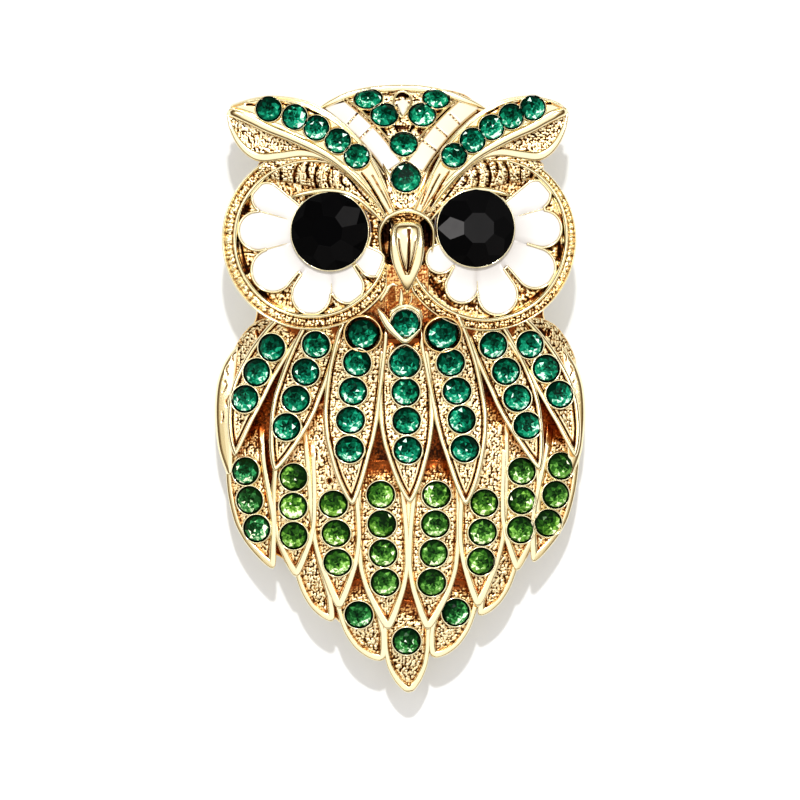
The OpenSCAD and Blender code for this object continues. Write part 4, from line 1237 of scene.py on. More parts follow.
@dataclass
class Disc:
    """A face disc: a leaning plate with a grained rim, petals of enamel and a cup for the eye."""

    side: Side
    dish_r: float = DISC_R - 1.4
    cup_r: float = EYE_D / 2 + 0.18

    @property
    def centre(self) -> Array:
        """Middle of the disc."""
        return full_size(DISC_AT[self.side.value])

    @property
    def eye(self) -> Array:
        """Middle of the eye, from the middle of the disc."""
        return full_size(EYE_AT[self.side.value]) - self.centre

    def placed(self, points: Array) -> Array:
        """Points of the disc's own frame in the brooch's: turned about Y by the lean, then moved."""
        lean = -DISC_TILT if self.side is Side.LEFT else DISC_TILT
        c, s = math.cos(lean), math.sin(lean)
        x, y, z = np.moveaxis(points, -1, 0)
        high = float(face_z(*self.centre))
        return zipped(x * c + z * s + self.centre[0], y + self.centre[1], -x * s + z * c + high)

    def local(self, points: Array) -> Array:
        """Points of the photograph, in pixels, in the disc's own frame."""
        return np.stack(seen(points[..., 0], points[..., 1]), -1) - self.centre

    def petal_ends(self) -> tuple[Array, Array, Array]:
        """The round ends of the petals as the eye has them: direction, distance and radius."""
        ends = np.array(PETALS[self.side.value], float)
        x, y = (self.local(ends) - self.eye).T
        return np.arctan2(y, x), np.hypot(x, y), ends[:, 2] / PX_PER_MM

    def wider(self, angle: Array) -> Array:
        """By what factor the dish is larger than a circle at each angle: the right one is, most to the upper right."""
        return 1 + (0.03 + 0.04 * unit(np.cos(angle - 0.7)) ** 4) * (self.side is Side.RIGHT)

    def plate(self) -> Patch:
        """The plate: a turned profile whose band is rough, on the outer side with teeth, and which shrinks to a thin
        rim on the side of the beak. The right one is stretched. Dark marks, painted shade, are cut into its floor."""
        left = self.side is Side.LEFT
        points, angle = turned(PLATE, 960)
        radius, height = PLATE[:, :1], PLATE[:, 1:]
        # The rim is thin within 52 degrees of a direction on the beak's side, and full 16 degrees further round.
        from_beak = apart(angle, math.radians(32 if left else 148))
        full = unit((from_beak - math.radians(52)) / math.radians(16))[None, :]
        full = full * full * (3 - 2 * full)
        scale = np.where(radius > RIM_R, (RIM_R + (radius - RIM_R) * (0.16 + 0.84 * full)) / radius, 1.0)
        stretch = np.interp(radius, [0, 5, 7.4, 8.0, 8.8, 9.0], [0, 0.5, 1, 1, 0.3, 0.0])
        scale = scale * (1 + stretch * (self.wider(angle)[None, :] - 1))
        points[..., :2] *= scale[..., None]
        x, y = points[..., 0], points[..., 1]
        # The band: grains under an arch, and on the outer side of the face teeth.
        band = (radius > BAND_IN) & (radius < BAND_OUT) & (height > 0)
        arched = 1 - unit(np.abs(radius - BAND_R) / 0.42) ** 3
        toothed = unit(1.4 - apart(angle - (math.pi if left else 0.0), 0.25) / 0.8)[None, :]
        phase = 50 * angle + 1.3 * np.sign(radius - BAND_R) + 1.9 * np.sin(7 * angle) + np.sin(19 * angle)
        rough = 0.22 * grains(x, y, 0.27, 21) * (1 - 0.5 * toothed) + 0.2 * toothed * np.abs(np.sin(phase))
        bead = np.where(band, arched * rough, 0)
        # The floor: a bed of grains, with painted shade beside the enamel.
        floor = (radius < FLOOR_R) & (height > -1)
        bed = grains(x, y, 0.34, 4)
        points[..., 2] += bead
        points[..., 2] += np.where(floor & (radius > BED_IN), 0.06 * bed, 0)
        # Relief: painted shade between the band's beads and between the floor's grains, a painted highlight on their
        # tops; the lip stays bright.
        relief = np.where(band, unit(-0.08 + 5.2 * bead), 1.0)
        relief = np.where(floor, unit(0.02 + 0.75 * bed), relief)
        relief = np.where(floor & (radius > BED_OUT), 0.5, relief)
        dx, dy = x - self.eye[0], y - self.eye[1]
        gap = np.hypot(dx, dy) - self.reach(np.arctan2(dy, dx))
        relief = np.where(floor & (gap > 0), relief * unit((gap - 0.12) / 0.3), relief)
        grain = np.where(band, 0.6, 0) + np.where(floor, 0.7, 0)
        for *spots, width in DARK_MARKS[self.side.value]:
            line = self.local(np.reshape(spots, (3, 2)).astype(float))
            weight = np.where(floor, Stroke(*map(tuple, line), width, -MARK_DEPTH).weight(x, y), 0)
            points[..., 2] -= MARK_DEPTH * weight
            dim = 1 - unit(1.6 * weight)
            relief, grain = relief * dim, grain * dim
        # The beak's slots are cut in and painted dark as shade.
        for slot in BEAK_SLOTS:
            weight = unit(1.5 * slot.weight(x + self.centre[0], y + self.centre[1])) * (height > -1)
            points[..., 2] += slot.rise * weight
            relief, grain = relief * (1 - weight), grain * (1 - weight)
        # The back is mid-toned; two thin grooves beside the band are painted dark as shade.
        relief = np.where(height < -0.5, 0.5, relief)
        relief = np.where((np.abs(radius - 8.03) < 0.03) | (np.abs(radius - BAND_OUT) < 0.03), 0.05, relief)
        placed = self.placed(points)
        ceiling = inner_z(placed[..., 0], placed[..., 1]) + COVER
        placed[..., 2] = np.where((height < -2.0) & (placed[..., 2] < ceiling), ceiling, placed[..., 2])
        return lofted(placed, relief, grain)

    def reach(self, angle: Array) -> Array:
        """How far the enamel reaches from the eye at each angle: the far side of the petals' round ends, where d is
        the distance, e the angle and b the radius of an end, d cos e + sqrt(b^2 - d^2 sin^2 e); between two petals at
        least their cusp; and never past the wall of the dish."""
        ways, far, radii = self.petal_ends()
        out = np.zeros_like(angle)
        for way, d, b in zip(ways, far, radii):
            e = apart(angle, way)
            inside = b**2 - (d * np.sin(e)) ** 2
            end = d * np.cos(e) + np.sqrt(np.maximum(inside, 0))
            out = np.maximum(out, np.where((inside > 0) & (e < 1.2), end, 0))
        for a, b, cusp in zip(ways[:-1], ways[1:], CUSPS[self.side.value]):
            middle = math.atan2(math.sin(a) + math.sin(b), math.cos(a) + math.cos(b))
            out = np.where(apart(angle, middle) < math.radians(13), np.maximum(out, cusp), out)
        dish = self.dish_r - 0.24
        limit = dish
        along = self.eye[0] * np.cos(angle) + self.eye[1] * np.sin(angle)
        for _ in range(2):
            wall = -along + np.sqrt(np.maximum(along**2 - (self.eye @ self.eye - limit**2), 0))
            toward = np.arctan2(self.eye[1] + wall * np.sin(angle), self.eye[0] + wall * np.cos(angle))
            limit = dish * self.wider(toward)
        return np.clip(np.minimum(out, wall), self.cup_r + 0.04, None)

    def petals(self) -> Patch:
        """The enamel: a ring from the cup to the petals' reach, crowned along each petal and low at its edge; its
        relief paints shade at the edges and between petals, and a painted shadow of the eye stone on its lower side.
        """
        angle = turn_steps(1080)
        reach, inner = self.reach(angle) - 0.02, self.cup_r
        shares = np.concatenate([np.linspace(0, 0.8, 12), [0.87, 0.92, 0.96, 0.985, 1.0]])[:, None]
        r = inner + (reach - inner)[None, :] * shares
        edge = (reach - inner)[None, :] * (1 - shares)
        round_edge = np.sqrt(unit(1 - (1 - unit(edge / 0.6)) ** 2))
        valley = np.zeros((1, len(angle)))
        for divide in self.dividers():
            beside = unit(1 - apart(angle, divide) / math.radians(7))[None, :]
            valley = np.maximum(valley, beside ** 1.5)
        top = 0.36 + 0.16 * round_edge - 0.16 * valley * unit((r - inner) / 1.2)
        rows = [circle(r, angle, top), circle(reach, angle, 0.02)[None], circle(inner, angle, 0.02)[None]]
        grid = np.concatenate(rows)
        grid[..., :2] += self.eye
        # The eye stone's painted shadow on the petals: its direction, breadth and depth.
        lean, broad, deep = (-1.9, 1.7, 0.6) if self.side is Side.LEFT else (-0.9, 2.3, 0.8)
        shade = unit(1 - (r - inner) / broad) ** 0.9 * unit(0.25 + np.cos(angle - lean))
        relief = 0.8 + 0.2 * round_edge - 0.25 * valley - deep * shade
        return hoop(self.placed(grid), np.vstack([relief, np.zeros((2, len(angle)))]))

    def dividers(self) -> list[float]:
        """The angles at which two neighbouring petals meet: where the reach is least between their middles."""
        ways, found = np.unwrap(self.petal_ends()[0]), []
        for a, b in zip(ways[:-1], ways[1:]):
            span = np.linspace(a, b, 241)[50:-50]
            low = self.reach(span)
            found.append(float(span[np.abs(low - low.min()) < 0.01].mean()))
        return found

    def wires(self) -> list[Patch]:
        """A wire round the petals, and one down the seams between some of them."""
        ways = np.unwrap(self.petal_ends()[0])
        turn = 1 if ways[-1] > ways[0] else -1
        angle = np.linspace(ways[0] - turn * 0.36, ways[-1] + turn * 0.5, 900)
        line = circle(self.reach(angle), angle)[:, :2] + self.eye
        run = walked(line)
        even = np.linspace(0, run[-1], 700)
        line = np.stack([np.interp(even, run, line[:, k]) for k in (0, 1)], -1)
        made = [self.wire(line, 0.13, 0.60)]
        for divide, inner in zip(self.dividers(), SEAMS[self.side.value]):
            if inner:
                r = np.linspace(float(self.reach(np.array([divide]))[0]), inner, 20)
                spoke = circle(r, np.full(len(r), divide))[:, :2] + self.eye
                made.append(self.wire(spoke, np.linspace(0.085, 0.03, len(r)), 0.46))
        return made

    def wire(self, line: Array, half: "float | Array", top: float) -> Patch:
        """A rib of the disc's frame along a line: w cos a across, its top at a height, its walls to the floor."""
        half = (np.zeros(len(line)) + half)[:, None]
        way = np.gradient(line, axis=0)
        way /= np.maximum(np.linalg.norm(way, axis=1), 1e-9)[:, None]
        angle, across, up = rib_section(9)
        across, up = across * half, top - half + up * half
        up[:, -2:] = -0.2
        points = zipped(line[:, :1] - across * way[:, 1:], line[:, 1:] + across * way[:, :1], up)
        relief = np.tile(np.concatenate([Ridge.flanks(angle), [0.1, 0.1]]), (len(line), 1))
        return lofted(self.placed(points), relief)

    def cup(self) -> Patch:
        """The thin cup round the eye stone, of which only a line shows."""
        r = EYE_D / 2
        profile = np.array([
            (r - 0.25, 0.2), (r - 0.22, 0.75), (r - 0.05, EYE_CUP_H - 0.22), (r + 0.04, EYE_CUP_H - 0.1),
            (r + 0.1, EYE_CUP_H - 0.08), (r + 0.15, EYE_CUP_H - 0.18), (self.cup_r, 0.5), (self.cup_r, -0.1),
            (r - 0.25, -0.1),
        ])
        points, angle = turned(profile, 96)
        points[..., :2] += self.eye
        # The cup's marks: a painted highlight on its lip, painted shade on its walls.
        return hoop(self.placed(points), np.repeat([0.1, 0.1, 0.2, 0.9, 1, 0.9, 0.4, 0.1, 0.1], len(angle)))

    def stone(self) -> Patch:
        """The eye stone: an octagonal table, eight wide main facets ending on ridge points, small facets from
        those to the girdle, and a pointed back."""
        r, rise, table_r, ridge_r = EYE_D / 2 + 0.05, 0.22 * EYE_D, 0.42, 0.76
        flat_r = r * math.cos(math.pi / 8)
        slope = rise / (r - table_r * flat_r)
        ridge = rise - slope * (ridge_r - table_r) * flat_r
        spin = math.radians(13 if self.side is Side.LEFT else 22.5)
        eight, sixteen = spin + np.arange(8) * math.pi / 4, spin + np.arange(16) * math.pi / 8
        points = np.vstack([
            circle(table_r * r, eight, rise), circle(ridge_r * r, eight, ridge), circle(r, sixteen),
            circle(r, sixteen, -0.05 * r), [[0, 0, -0.28 * EYE_D]],
        ])
        i, k = np.arange(8), np.arange(16)
        j, g, before, after = (i + 1) % 8, 16 + 2 * i, 16 + (2 * i + 15) % 16, (k + 1) % 16
        faces = [
            i[None, :], zipped(8 + i, g + 1, 8 + j, j, i),
            zipped(8 + i, g, g + 1), zipped(8 + i, before, g),
            zipped(32 + k, 32 + after, 16 + after, 16 + k),
            zipped(32 + after, 32 + k, np.full(16, len(points) - 1)),
        ]
        points[:, :2] += self.eye
        points[:, 2] += EYE_CUP_H
        # The painted reflections of the table and of the eight main facets; on the right one of them carries a painted
        # flash.
        table, mains = (0.0, (0.13, 0.01, 0.0, 0.0, 0.01, 0.04, 0.04, 0.02)) if self.side is Side.LEFT else (
            0.18, (0.03, 0.02, 0.01, 0.85, 0.01, 0.03, 0.06, 0.02))
        small = np.random.default_rng(3 + self.side.value).uniform(0, 0.03, 16)
        fire = np.concatenate([[table], mains, small, np.zeros(32)])
        return Patch(self.placed(points), faces, face_marks={"fire": fire}).outward()


@dataclass
class Setting:
    """Stones of one node, each in a thin collar, square to the ground that carries it.

    Some stones, by their number, have more: horns draws a collar out to a point at an angle in degrees by a share
    of its radius, wells widens a collar, pears draws a stone out and scales it, and broad makes one wider and lower.
    collar is the thickness of the collars as a share of the usual one.
    """

    name: str
    diameter: float
    spots: list[Array] = field(default_factory=list)
    slopes: list[Array] = field(default_factory=list)
    heights: list[float] = field(default_factory=list)
    horns: dict[int, tuple[float, float]] = field(default_factory=dict)
    wells: dict[int, float] = field(default_factory=dict)
    pears: dict[int, tuple[float, float, float]] = field(default_factory=dict)
    broad: dict[int, float] = field(default_factory=dict)
    collar: float = 1.0
    horn_reach: float = 0.95

    def add(self, spot: Array, base: Height, lift: float, climb: Array) -> None:
        """Adds a stone at a spot, lift above its base, leaning with the base and a further slope."""
        x, y, h = float(spot[0]), float(spot[1]), 0.2
        lean = np.array([base(x + h, y) - base(x - h, y), base(x, y + h) - base(x, y - h)]) / (2 * h)
        self.spots.append(np.array([x, y]))
        self.slopes.append(lean + climb)
        self.heights.append(float(base(x, y)) + lift)

    def add_leaf(self, leaf: Leaf, base: Height, lift: Callable[[Array], Array]) -> None:
        """Adds a leaf's row of stones."""
        spots, t, way = leaf.places(STONE_PITCH)
        climb = (lift(t + 0.05) - lift(t - 0.05)) / (0.1 * leaf.length())
        for spot, high, slope in zip(spots, lift(t), climb[:, None] * way):
            self.add(spot, base, float(high) + SEAT_GAP, slope)

    def frames(self) -> tuple[Array, Array]:
        """Places, and for each stone its axes as rows: across, along and up."""
        slope = np.array(self.slopes)
        up = np.column_stack([-slope, np.ones(len(slope))])
        up /= np.linalg.norm(up, axis=1)[:, None]
        across = np.array([1.0, 0, 0]) - up * up[:, :1]
        across /= np.linalg.norm(across, axis=1)[:, None]
        wide = 1 + STONE_SHAKE * hashed(np.arange(len(up)), np.arange(len(up)), 77)[:, None]
        for k, share in self.broad.items():
            wide[k] *= share
        axes = np.stack([across * wide, np.cross(up, across) / wide, up], 1)
        return np.column_stack([np.array(self.spots), self.heights]), axes

    def spread(self, template: Array, size: float, turns: Array) -> Array:
        """The template's points in every stone's frame, each copy turned by its own angle; a pear is drawn out to
        a blunt point at its angle and scaled."""
        places, axes = self.frames()
        radius, angle = np.hypot(*template[:, :2].T), np.arctan2(template[:, 1], template[:, 0]) + turns[:, None]
        for k, (way, length, size_up) in self.pears.items():
            near = unit(1 - apart(angle[k], math.radians(way)) / self.horn_reach)
            radius = np.broadcast_to(radius, angle.shape).copy()
            radius[k] *= size_up * (1 + length * near ** 1.4)
        shaped = circle(radius, angle, template[:, 2])
        return np.einsum("spk,skj->spj", shaped * size, axes) + places[:, None, :]

    def collars(self) -> Patch:
        """A low ring round each stone: an outer wall, a rounded top and an inner wall. A horn draws a ring out to a
        point at its angle, and a well widens it round its stone."""
        profile = np.array([
            (1.05, -0.2), (1.05, 0.14), (1.07, 0.24), (1.1, 0.28), (1.16, 0.27), (1.2, 0.18), (1.22, -0.2)])
        inner = profile[0, 0]
        profile[:, 0] = inner + (profile[:, 0] - inner) * self.collar
        points, angle = turned(profile, 32)
        count, cols = points.shape[:2]
        places, axes = self.frames()
        scale = np.ones((len(places), cols))
        for k, (way, length) in self.horns.items():
            scale[k] += length * unit(1 - apart(angle, math.radians(way)) / self.horn_reach) ** 1.5
        for k, wider in self.wells.items():
            scale[k] *= wider
        shaped = np.repeat(points[None], len(places), 0) * self.diameter / 2
        shaped[..., :2] *= scale[:, None, :, None]
        spread = np.einsum("srck,skj->srcj", shaped, axes) + places[:, None, None, :]
        # The collar's marks: painted shade at its foot and inner wall, a painted highlight on its rounded top.
        relief = np.tile(np.repeat([0.0, 0.1, 0.8, 1, 1, 0.8, 0.2], cols), (len(places), 1))
        # A much widened well is painted darker, as shade.
        relief[[k for k, wider in self.wells.items() if wider > 1.2]] *= 0.35
        start = np.arange(len(places))[:, None, None] * count * cols
        faces = (ring_quads(count, cols, closed=True)[None] + start).reshape(-1, 4)
        return Patch(spread.reshape(-1, 3), [faces], relief).outward()

    def stones(self, tints: Array, seed: int) -> Patch:
        """The stones: a table split as the pavilion shows through it, star, main and girdle facets, and a flat
        back. The fire of a facet is painted light and shade: brightest on its lower side and scattered from facet to
        facet.

        Args:
            tints: for each stone, how far it leans to the finish's second glass.
            seed: start of the scatter.
        Returns:
            The patch, with a fire and a tint for each face.
        """
        i = np.arange(8)
        corner, half_way = i * math.pi / 4 + math.pi / 8, i * math.pi / 4 + math.pi / 4
        sixteen = np.arange(16) * math.pi / 8 + math.pi / 8
        points = np.vstack([[[0, 0, 0.60]]] + [circle(*ring) for ring in (
            (0.22, corner, 0.60), (0.40, half_way, 0.60), (0.56, corner, 0.60), (0.76, half_way, 0.48),
            (0.93, sixteen, 0.30), (1.0, sixteen, 0.17), (1.0, sixteen, 0.0),
        )])
        j, k = (i + 1) % 8, np.arange(16)
        inner, mid, table, star, edge, after = 1 + i, 9 + i, 17 + i, 25 + i, 33 + 2 * i, 33 + (2 * i + 2) % 16
        triangles = np.vstack([np.stack(three, -1) for three in (
            (0 * i, inner, 1 + j), (inner, mid, 1 + j), (inner, table, mid), (1 + j, mid, 17 + j), (mid, table, 17 + j),
            (table, star, 17 + j), (table, edge, star), (17 + j, star, after), (star, edge, edge + 1),
            (star, edge + 1, after),
        )])
        rim = np.vstack([zipped(a + k, a + 16 + k, a + 16 + (k + 1) % 16, a + (k + 1) % 16) for a in (33, 49)])
        back = np.arange(80, 64, -1)[None, :]
        count, per = len(self.spots), (len(triangles), len(rim), 1)
        rng = np.random.default_rng(seed)
        turns = rng.uniform(0, math.pi / 4, count)
        spread = self.spread(points, self.diameter / 2, turns)
        # How far each facet lies to the lower side of its stone, as the photograph shows it, where the painted light is
        # brighter.
        middle = points[triangles].mean(1)[:, :2]
        toward = rng.normal(-math.pi / 2, 0.5, count) - turns
        lower = middle[None, :, 0] * np.cos(toward)[:, None] + middle[None, :, 1] * np.sin(toward)[:, None]
        each = (count, len(triangles))
        fire = FIRE_MEAN + np.repeat(FACET_FIRE, 8)[None, :] + FIRE_SLOPE * lower + rng.normal(0, FACET_SCATTER, each)
        # A few facets flash as painted glints; the rim and back are painted dark as shade.
        fire = np.where(rng.random(each) < FLASH_SHARE, 1.0, fire) + rng.normal(0, STONE_SCATTER, (count, 1))
        dark = np.full((count, len(rim) + 1), RIM_FIRE)
        cuts = np.split(np.concatenate([unit(fire), dark], 1), np.cumsum(per)[:-1], axis=1)
        marks = {
            "fire": np.concatenate([c.ravel() for c in cuts]),
            "tint": np.concatenate([np.repeat(tints, n) for n in per]),
        }
        start = np.arange(count)[:, None, None] * len(points)
        faces = [(f[None] + start).reshape(-1, f.shape[1]) for f in (triangles, rim, back)]
        return Patch(spread.reshape(-1, 3), faces, face_marks=marks).outward()


@dataclass
class Plumage:
    """The feathers of breast, skirt, tail and wings, with their stones."""

    gilding: Finish

    def feathers(
        self, leaves: Sequence[Leaf], form: Sequence, lift: Callable, edging: Edging, fade: float,
        deep: Sequence[int] = (),
    ) -> list[Patch]:
        """A closed solid for each leaf, with wells for its stones; the last well of the deep leaves is wider."""
        made = []
        for k, leaf in enumerate(leaves):
            spots = leaf.places(STONE_PITCH)[0] if leaf.stones else np.zeros((0, 2))
            radii = np.full(len(spots), STONE_D / 2)
            if k in deep:
                radii[-1] *= 1.22
            made.append(leaf.solid(form, shell_z, lift, edging, ROOT_DEPTH, seats=(spots, radii), fade=fade))
        return made

    def wings(self) -> list[Patch]:
        """The smooth edges of the folded wings, with short cut marks, and the grained shoulders above them."""
        marks = ((236, 352, 231, 355, 233, 361), (228, 366, 224, 371, 228, 375), (224, 381, 229, 386, 223, 391),
                 (228, 397, 224, 401, 227, 406), (222, 412, 225, 417, 222, 421))
        left = tuple(Stroke.through(*row, 0.16, -0.12) for row in marks)
        # The right wing's marks are the left one's, mirrored.
        right = tuple(Stroke.through(799 - a, b, 799 - c, d, 799 - e, f, 0.16, -0.12) for a, b, c, d, e, f in marks)
        rows = (Leaf((-0.872, 0.14), (-0.997, -0.02), (-0.915, -0.285), 0.05, strokes=left),
                Leaf((0.87, 0.14), (0.997, -0.03), (0.917, -0.285), 0.05, strokes=right))
        made = [row.solid(WING_FORM, shell_z, rising(SKIRT_LIFT), PLAIN_EDGE, ROOT_DEPTH) for row in rows]
        for turn in (-1, 1):
            axis, furrow, pit = ([seen(403 + turn * across, y) for across, y in line] for line in (
                ((118, 320), (154, 338), (166, 380)), ((128, 333), (145, 328), (136, 345)),
                ((146, 331), (146, 333), (145, 335))))
            places = (tuple(row) for row in np.array(axis) / [HALF_W, HALF_L])
            shoulder = Leaf(*places, 0.086, strokes=(Stroke(*furrow, 1.3, -0.08), Stroke(*pit, 0.5, -0.3)))
            made.append(shoulder.solid(WING_FORM, shell_z, level(0.5), GRAINED_EDGE, ROOT_DEPTH))
        return made

    def build(self) -> None:
        """Makes the three tiers."""
        tail = self.feathers(TAIL, TAIL_FORM, level(TAIL_LIFT), SKIRT_EDGE, 0.3)
        skirt = self.feathers(SKIRT, SKIRT_FORM, rising(SKIRT_LIFT), SKIRT_EDGE, 0.2)
        breast = self.feathers(BREAST, BREAST_FORM, rising(BREAST_LIFT), FEATHER_EDGE, 0.08, (2, 4))
        breast.append(THROAT.solid(DROP_FORM, shell_z, level(THROAT_LIFT), PLAIN_EDGE, ROOT_DEPTH))
        # A bright band that runs round the throat stone, on its left and below it.
        breast.append(Ridge.through([(x, y, THROAT_LIFT + 0.16, w, 0.5) for x, y, w in (
            (378, 309, 0.1), (382.5, 316, 0.34), (388.5, 325.5, 0.42), (396, 334, 0.36), (405, 341, 0.3),
            (413, 336, 0.22), (420, 329, 0.1))], shell_z).solid())
        # The rib between the two lowest feathers, the bead on it, and a ring on a feather to their left.
        for rows in (
            ((408.5, 498, 0.5, 0.2, 0.15), (408.5, 515, 0.6, 0.36, 0.25), (408.5, 545, 0.7, 0.34, 0.25),
             (408.5, 564, 0.75, 0.24, 0.2), (408.5, 578, 0.75, 0.08, 0.1)),
            ((408.5, 539, 0.85, 0.08, 0.1), (408.5, 542, 0.85, 0.26, 0.32), (408.5, 545, 0.85, 0.08, 0.1)),
            [(329.5 + 4.3 * math.cos(a), 481 + 4.3 * math.sin(a), 0.6, 0.12, 0.25) for a in np.linspace(0, 6.6, 15)],
        ):
            skirt.append(Ridge.through(rows, shell_z).solid())
        self.gilding.dress(tail + self.wings(), "tail_and_wings")
        self.gilding.dress(skirt, "skirt_feathers")
        self.gilding.dress(breast, "breast_feathers")


@dataclass
class Head:
    """Crown, brows, ear tufts, scrolls over the eyes, enamel stripes and beak."""

    gilding: Finish
    white: Finish
    ivory: Finish

    def crown(self) -> list[Patch]:
        """The grained field between the stripes, with slits along its rim and raised lines beside the stripes."""
        leaf = Leaf((0.006, 0.985), (0.02, 0.83), (0.034, 0.585), 0.435,
                    strokes=tuple(Stroke.through(*row, -0.35) for row in CROWN_SLITS))
        spots = full_size(CROWN_AT)
        radii = np.full(len(spots), CROWN_STONE_D / 2 + 0.03)
        made = [leaf.solid(CROWN_FORM, shell_z, level(CROWN_UP), GRAINED_EDGE, ROOT_DEPTH, 0.26, seats=(spots, radii))]
        rim = [(x, y, CROWN_UP + z, w, 0.35) for x, y, z, w in (
            (317, 111, 0.0, 0.05), (325, 105.8, 0.2, 0.24), (337, 99.8, 0.2, 0.32), (350, 94.6, 0.1, 0.34),
            (368, 90.4, -0.05, 0.36), (388, 88.6, -0.1, 0.38), (403, 88.3, -0.1, 0.38), (420, 89, -0.1, 0.38),
            (441, 92.4, 0.0, 0.36), (458, 97.8, 0.15, 0.34), (472, 103, 0.2, 0.3), (486, 109, 0.1, 0.08))]
        drop = [(x, y, CROWN_UP + 0.1, 0.13, 0.3) for x, y in (
            (402, 118), (396, 110), (393.5, 101), (397, 93.5), (403, 91.5), (409, 94.5), (411.5, 101), (408, 110),
            (402, 118))]
        made += [Ridge.through(rows, shell_z).solid() for rows in (rim, drop)]
        for turn, stripe in zip((-1, 1), STRIPES):
            for offset, low, w in ((1.24, 0.1, 0.13), (-1.2, 0.14, 0.12)):
                made.append(Ridge(stripe.beside(turn * offset, (STRIPE_UP - low, w, 0.2)), shell_z).solid())
        for turn in (-1, 1):
            made.append(Ridge.through([(407 + turn * across, y, z, w, 0.3) for across, y, z, w in (
                (27, 158, 1.4, 0.05), (20.5, 172, 1.55, 0.2), (16, 184, 1.5, 0.2), (10, 196, 1.3, 0.15),
                (4, 208, 1.0, 0.06))], shell_z).solid())
        return made + self.chin()

    def chin(self) -> list[Patch]:
        """The ground under the beak, pitted and painted dark as shade, with four bright folds on it."""
        made = []
        for knots in (
            ((401, 289, 0.08), (401.5, 296, 0.22), (401, 303, 0.26), (399, 311, 0.1)),
            ((411, 293, 0.05), (411.5, 299, 0.12), (409.5, 305, 0.1), (407.5, 309, 0.04)),
            ((398, 286, 0.08), (391, 285, 0.2), (385.5, 293, 0.2), (380, 302, 0.1)),
            ((413, 286, 0.1), (419.5, 284, 0.28), (425, 291, 0.26), (428, 303, 0.1)),
        ):
            made.append(Ridge.through([(x, y, 0.24, w, 0.25) for x, y, w in knots], shell_z).solid())
        pits = ((391, 289, 392, 299, 392, 308, 0.95, -0.3), (417.5, 290, 417.5, 296, 417, 302, 0.62, -0.3),
                (416.5, 308, 418, 308.5, 419.5, 308, 0.5, -0.5), (407, 295, 407.5, 299, 407, 303, 0.3, -0.25))
        ground = Leaf((0.036, 0.405), (0.034, 0.3), (0.034, 0.225), 0.12,
                      strokes=tuple(Stroke.through(*row) for row in pits))
        chin = ground.solid(BAND_FORM, shell_z, level(0.1), GRAINED_EDGE, ROOT_DEPTH)
        # The chin's relief is kept low: painted shade of dark amber.
        chin.relief, chin.grain = 0.09 + 0.36 * np.minimum(chin.relief, 0.6), 0 * chin.grain
        return made + [chin]

    def side(self, side: Side) -> list[Patch]:
        """Brow, ear tuft and scroll of one side."""
        brow = replace(BROWS[side.value], strokes=tuple(stroke_at(side, row) for row in BROW_SLITS))
        spots = np.array([seen(*spot) for spot in BROW_STONES[side.value]])
        scroll = replace(LASHES[side.value], strokes=tuple(stroke_at(side, row) for row in SCROLL_LINES))
        lift, down = BROW_LIFT, BROW_T - BROW_LIFT
        radii = np.full(len(spots), BROW_STONE_D / 2 + 0.22)
        made = [
            brow.solid(BROW_FORM, face_z, level(lift), BROW_EDGE, down, 0.26, 0.1, (spots, radii)),
            LOBES[side.value].solid(LOBE_FORM, face_z, level(0.7 * lift), GRAINED_EDGE, down, 0.27, -0.15),
            scroll.solid(LASH_FORM, face_z, level(0.4 * lift), GRAINED_EDGE, 1.2, 0.24, 0.25),
        ]
        made += [ridge_at(side, rows, face_z, power).solid() for power, rows in SIDE_RIBS]
        return made

    def beak(self) -> list[Patch]:
        """A long shield with a drop standing on it under an arched hood, as convex forms whose sections at each
        (y, middle x, half width, height) are w cos a across and h (sin a)^power up."""
        top_z = float(face_z(0.65, 17.4))
        grooves = (Stroke.through(396.3, 234, 398.5, 256, 405.8, 275, 0.26, -0.12),
                   Stroke.through(418, 234, 415.5, 256, 408.4, 275, 0.26, -0.12))
        streaks = (Stroke.through(409, 230, 410, 250, 407.3, 272, 0.42, -0.1),
                   Stroke.through(398.3, 240, 400, 256, 405.5, 271, 0.25, -0.1),
                   Stroke.through(415.5, 243, 413.5, 257, 409, 270, 0.2, -0.1))

        def mound(
            table: Sequence[tuple], power: float, cuts: Sequence[Stroke] = (), dim: float = 1.0, low: float = 0.0,
        ) -> Patch:
            """A form from rows of (photograph y, middle x, half width, height), its edges at a low height, painted
            darker there as shade. Where dim is below 1, it is grained and painted dark as shade."""
            k = smooth_through([(*seen(x, y)[::-1], w, h) for y, x, w, h in table], 90)
            angle, across, rise = rib_section(49, power)
            across, high = across * np.maximum(k[:, 2:3], 0.02), np.maximum(k[:, 3:4], 0.02)
            foot = np.minimum(low, 0.8 * high)
            up = foot + rise * (high - foot)
            x, y = k[:, 1:2] + across, k[:, 0:1] + 0 * across
            relief = dim * np.tile(np.concatenate([0.5 + 0.5 * np.sin(angle) ** 0.5, [0.1, 0.1]]), (len(k), 1))
            grain = np.full(relief.shape, float(dim < 1))
            if dim < 1:
                bed = grains(x, y, 0.3, 13)
                up, relief = up + 0.08 * bed, relief * (0.4 + 0.8 * bed)
            for cut in cuts:
                weight = unit(1.5 * cut.weight(x, y))
                up, relief, grain = up + cut.rise * weight, relief * (1 - weight), grain * (1 - weight)
            up[:, -2:] = -1.2
            return lofted(zipped(x, y, top_z + up), relief, grain)

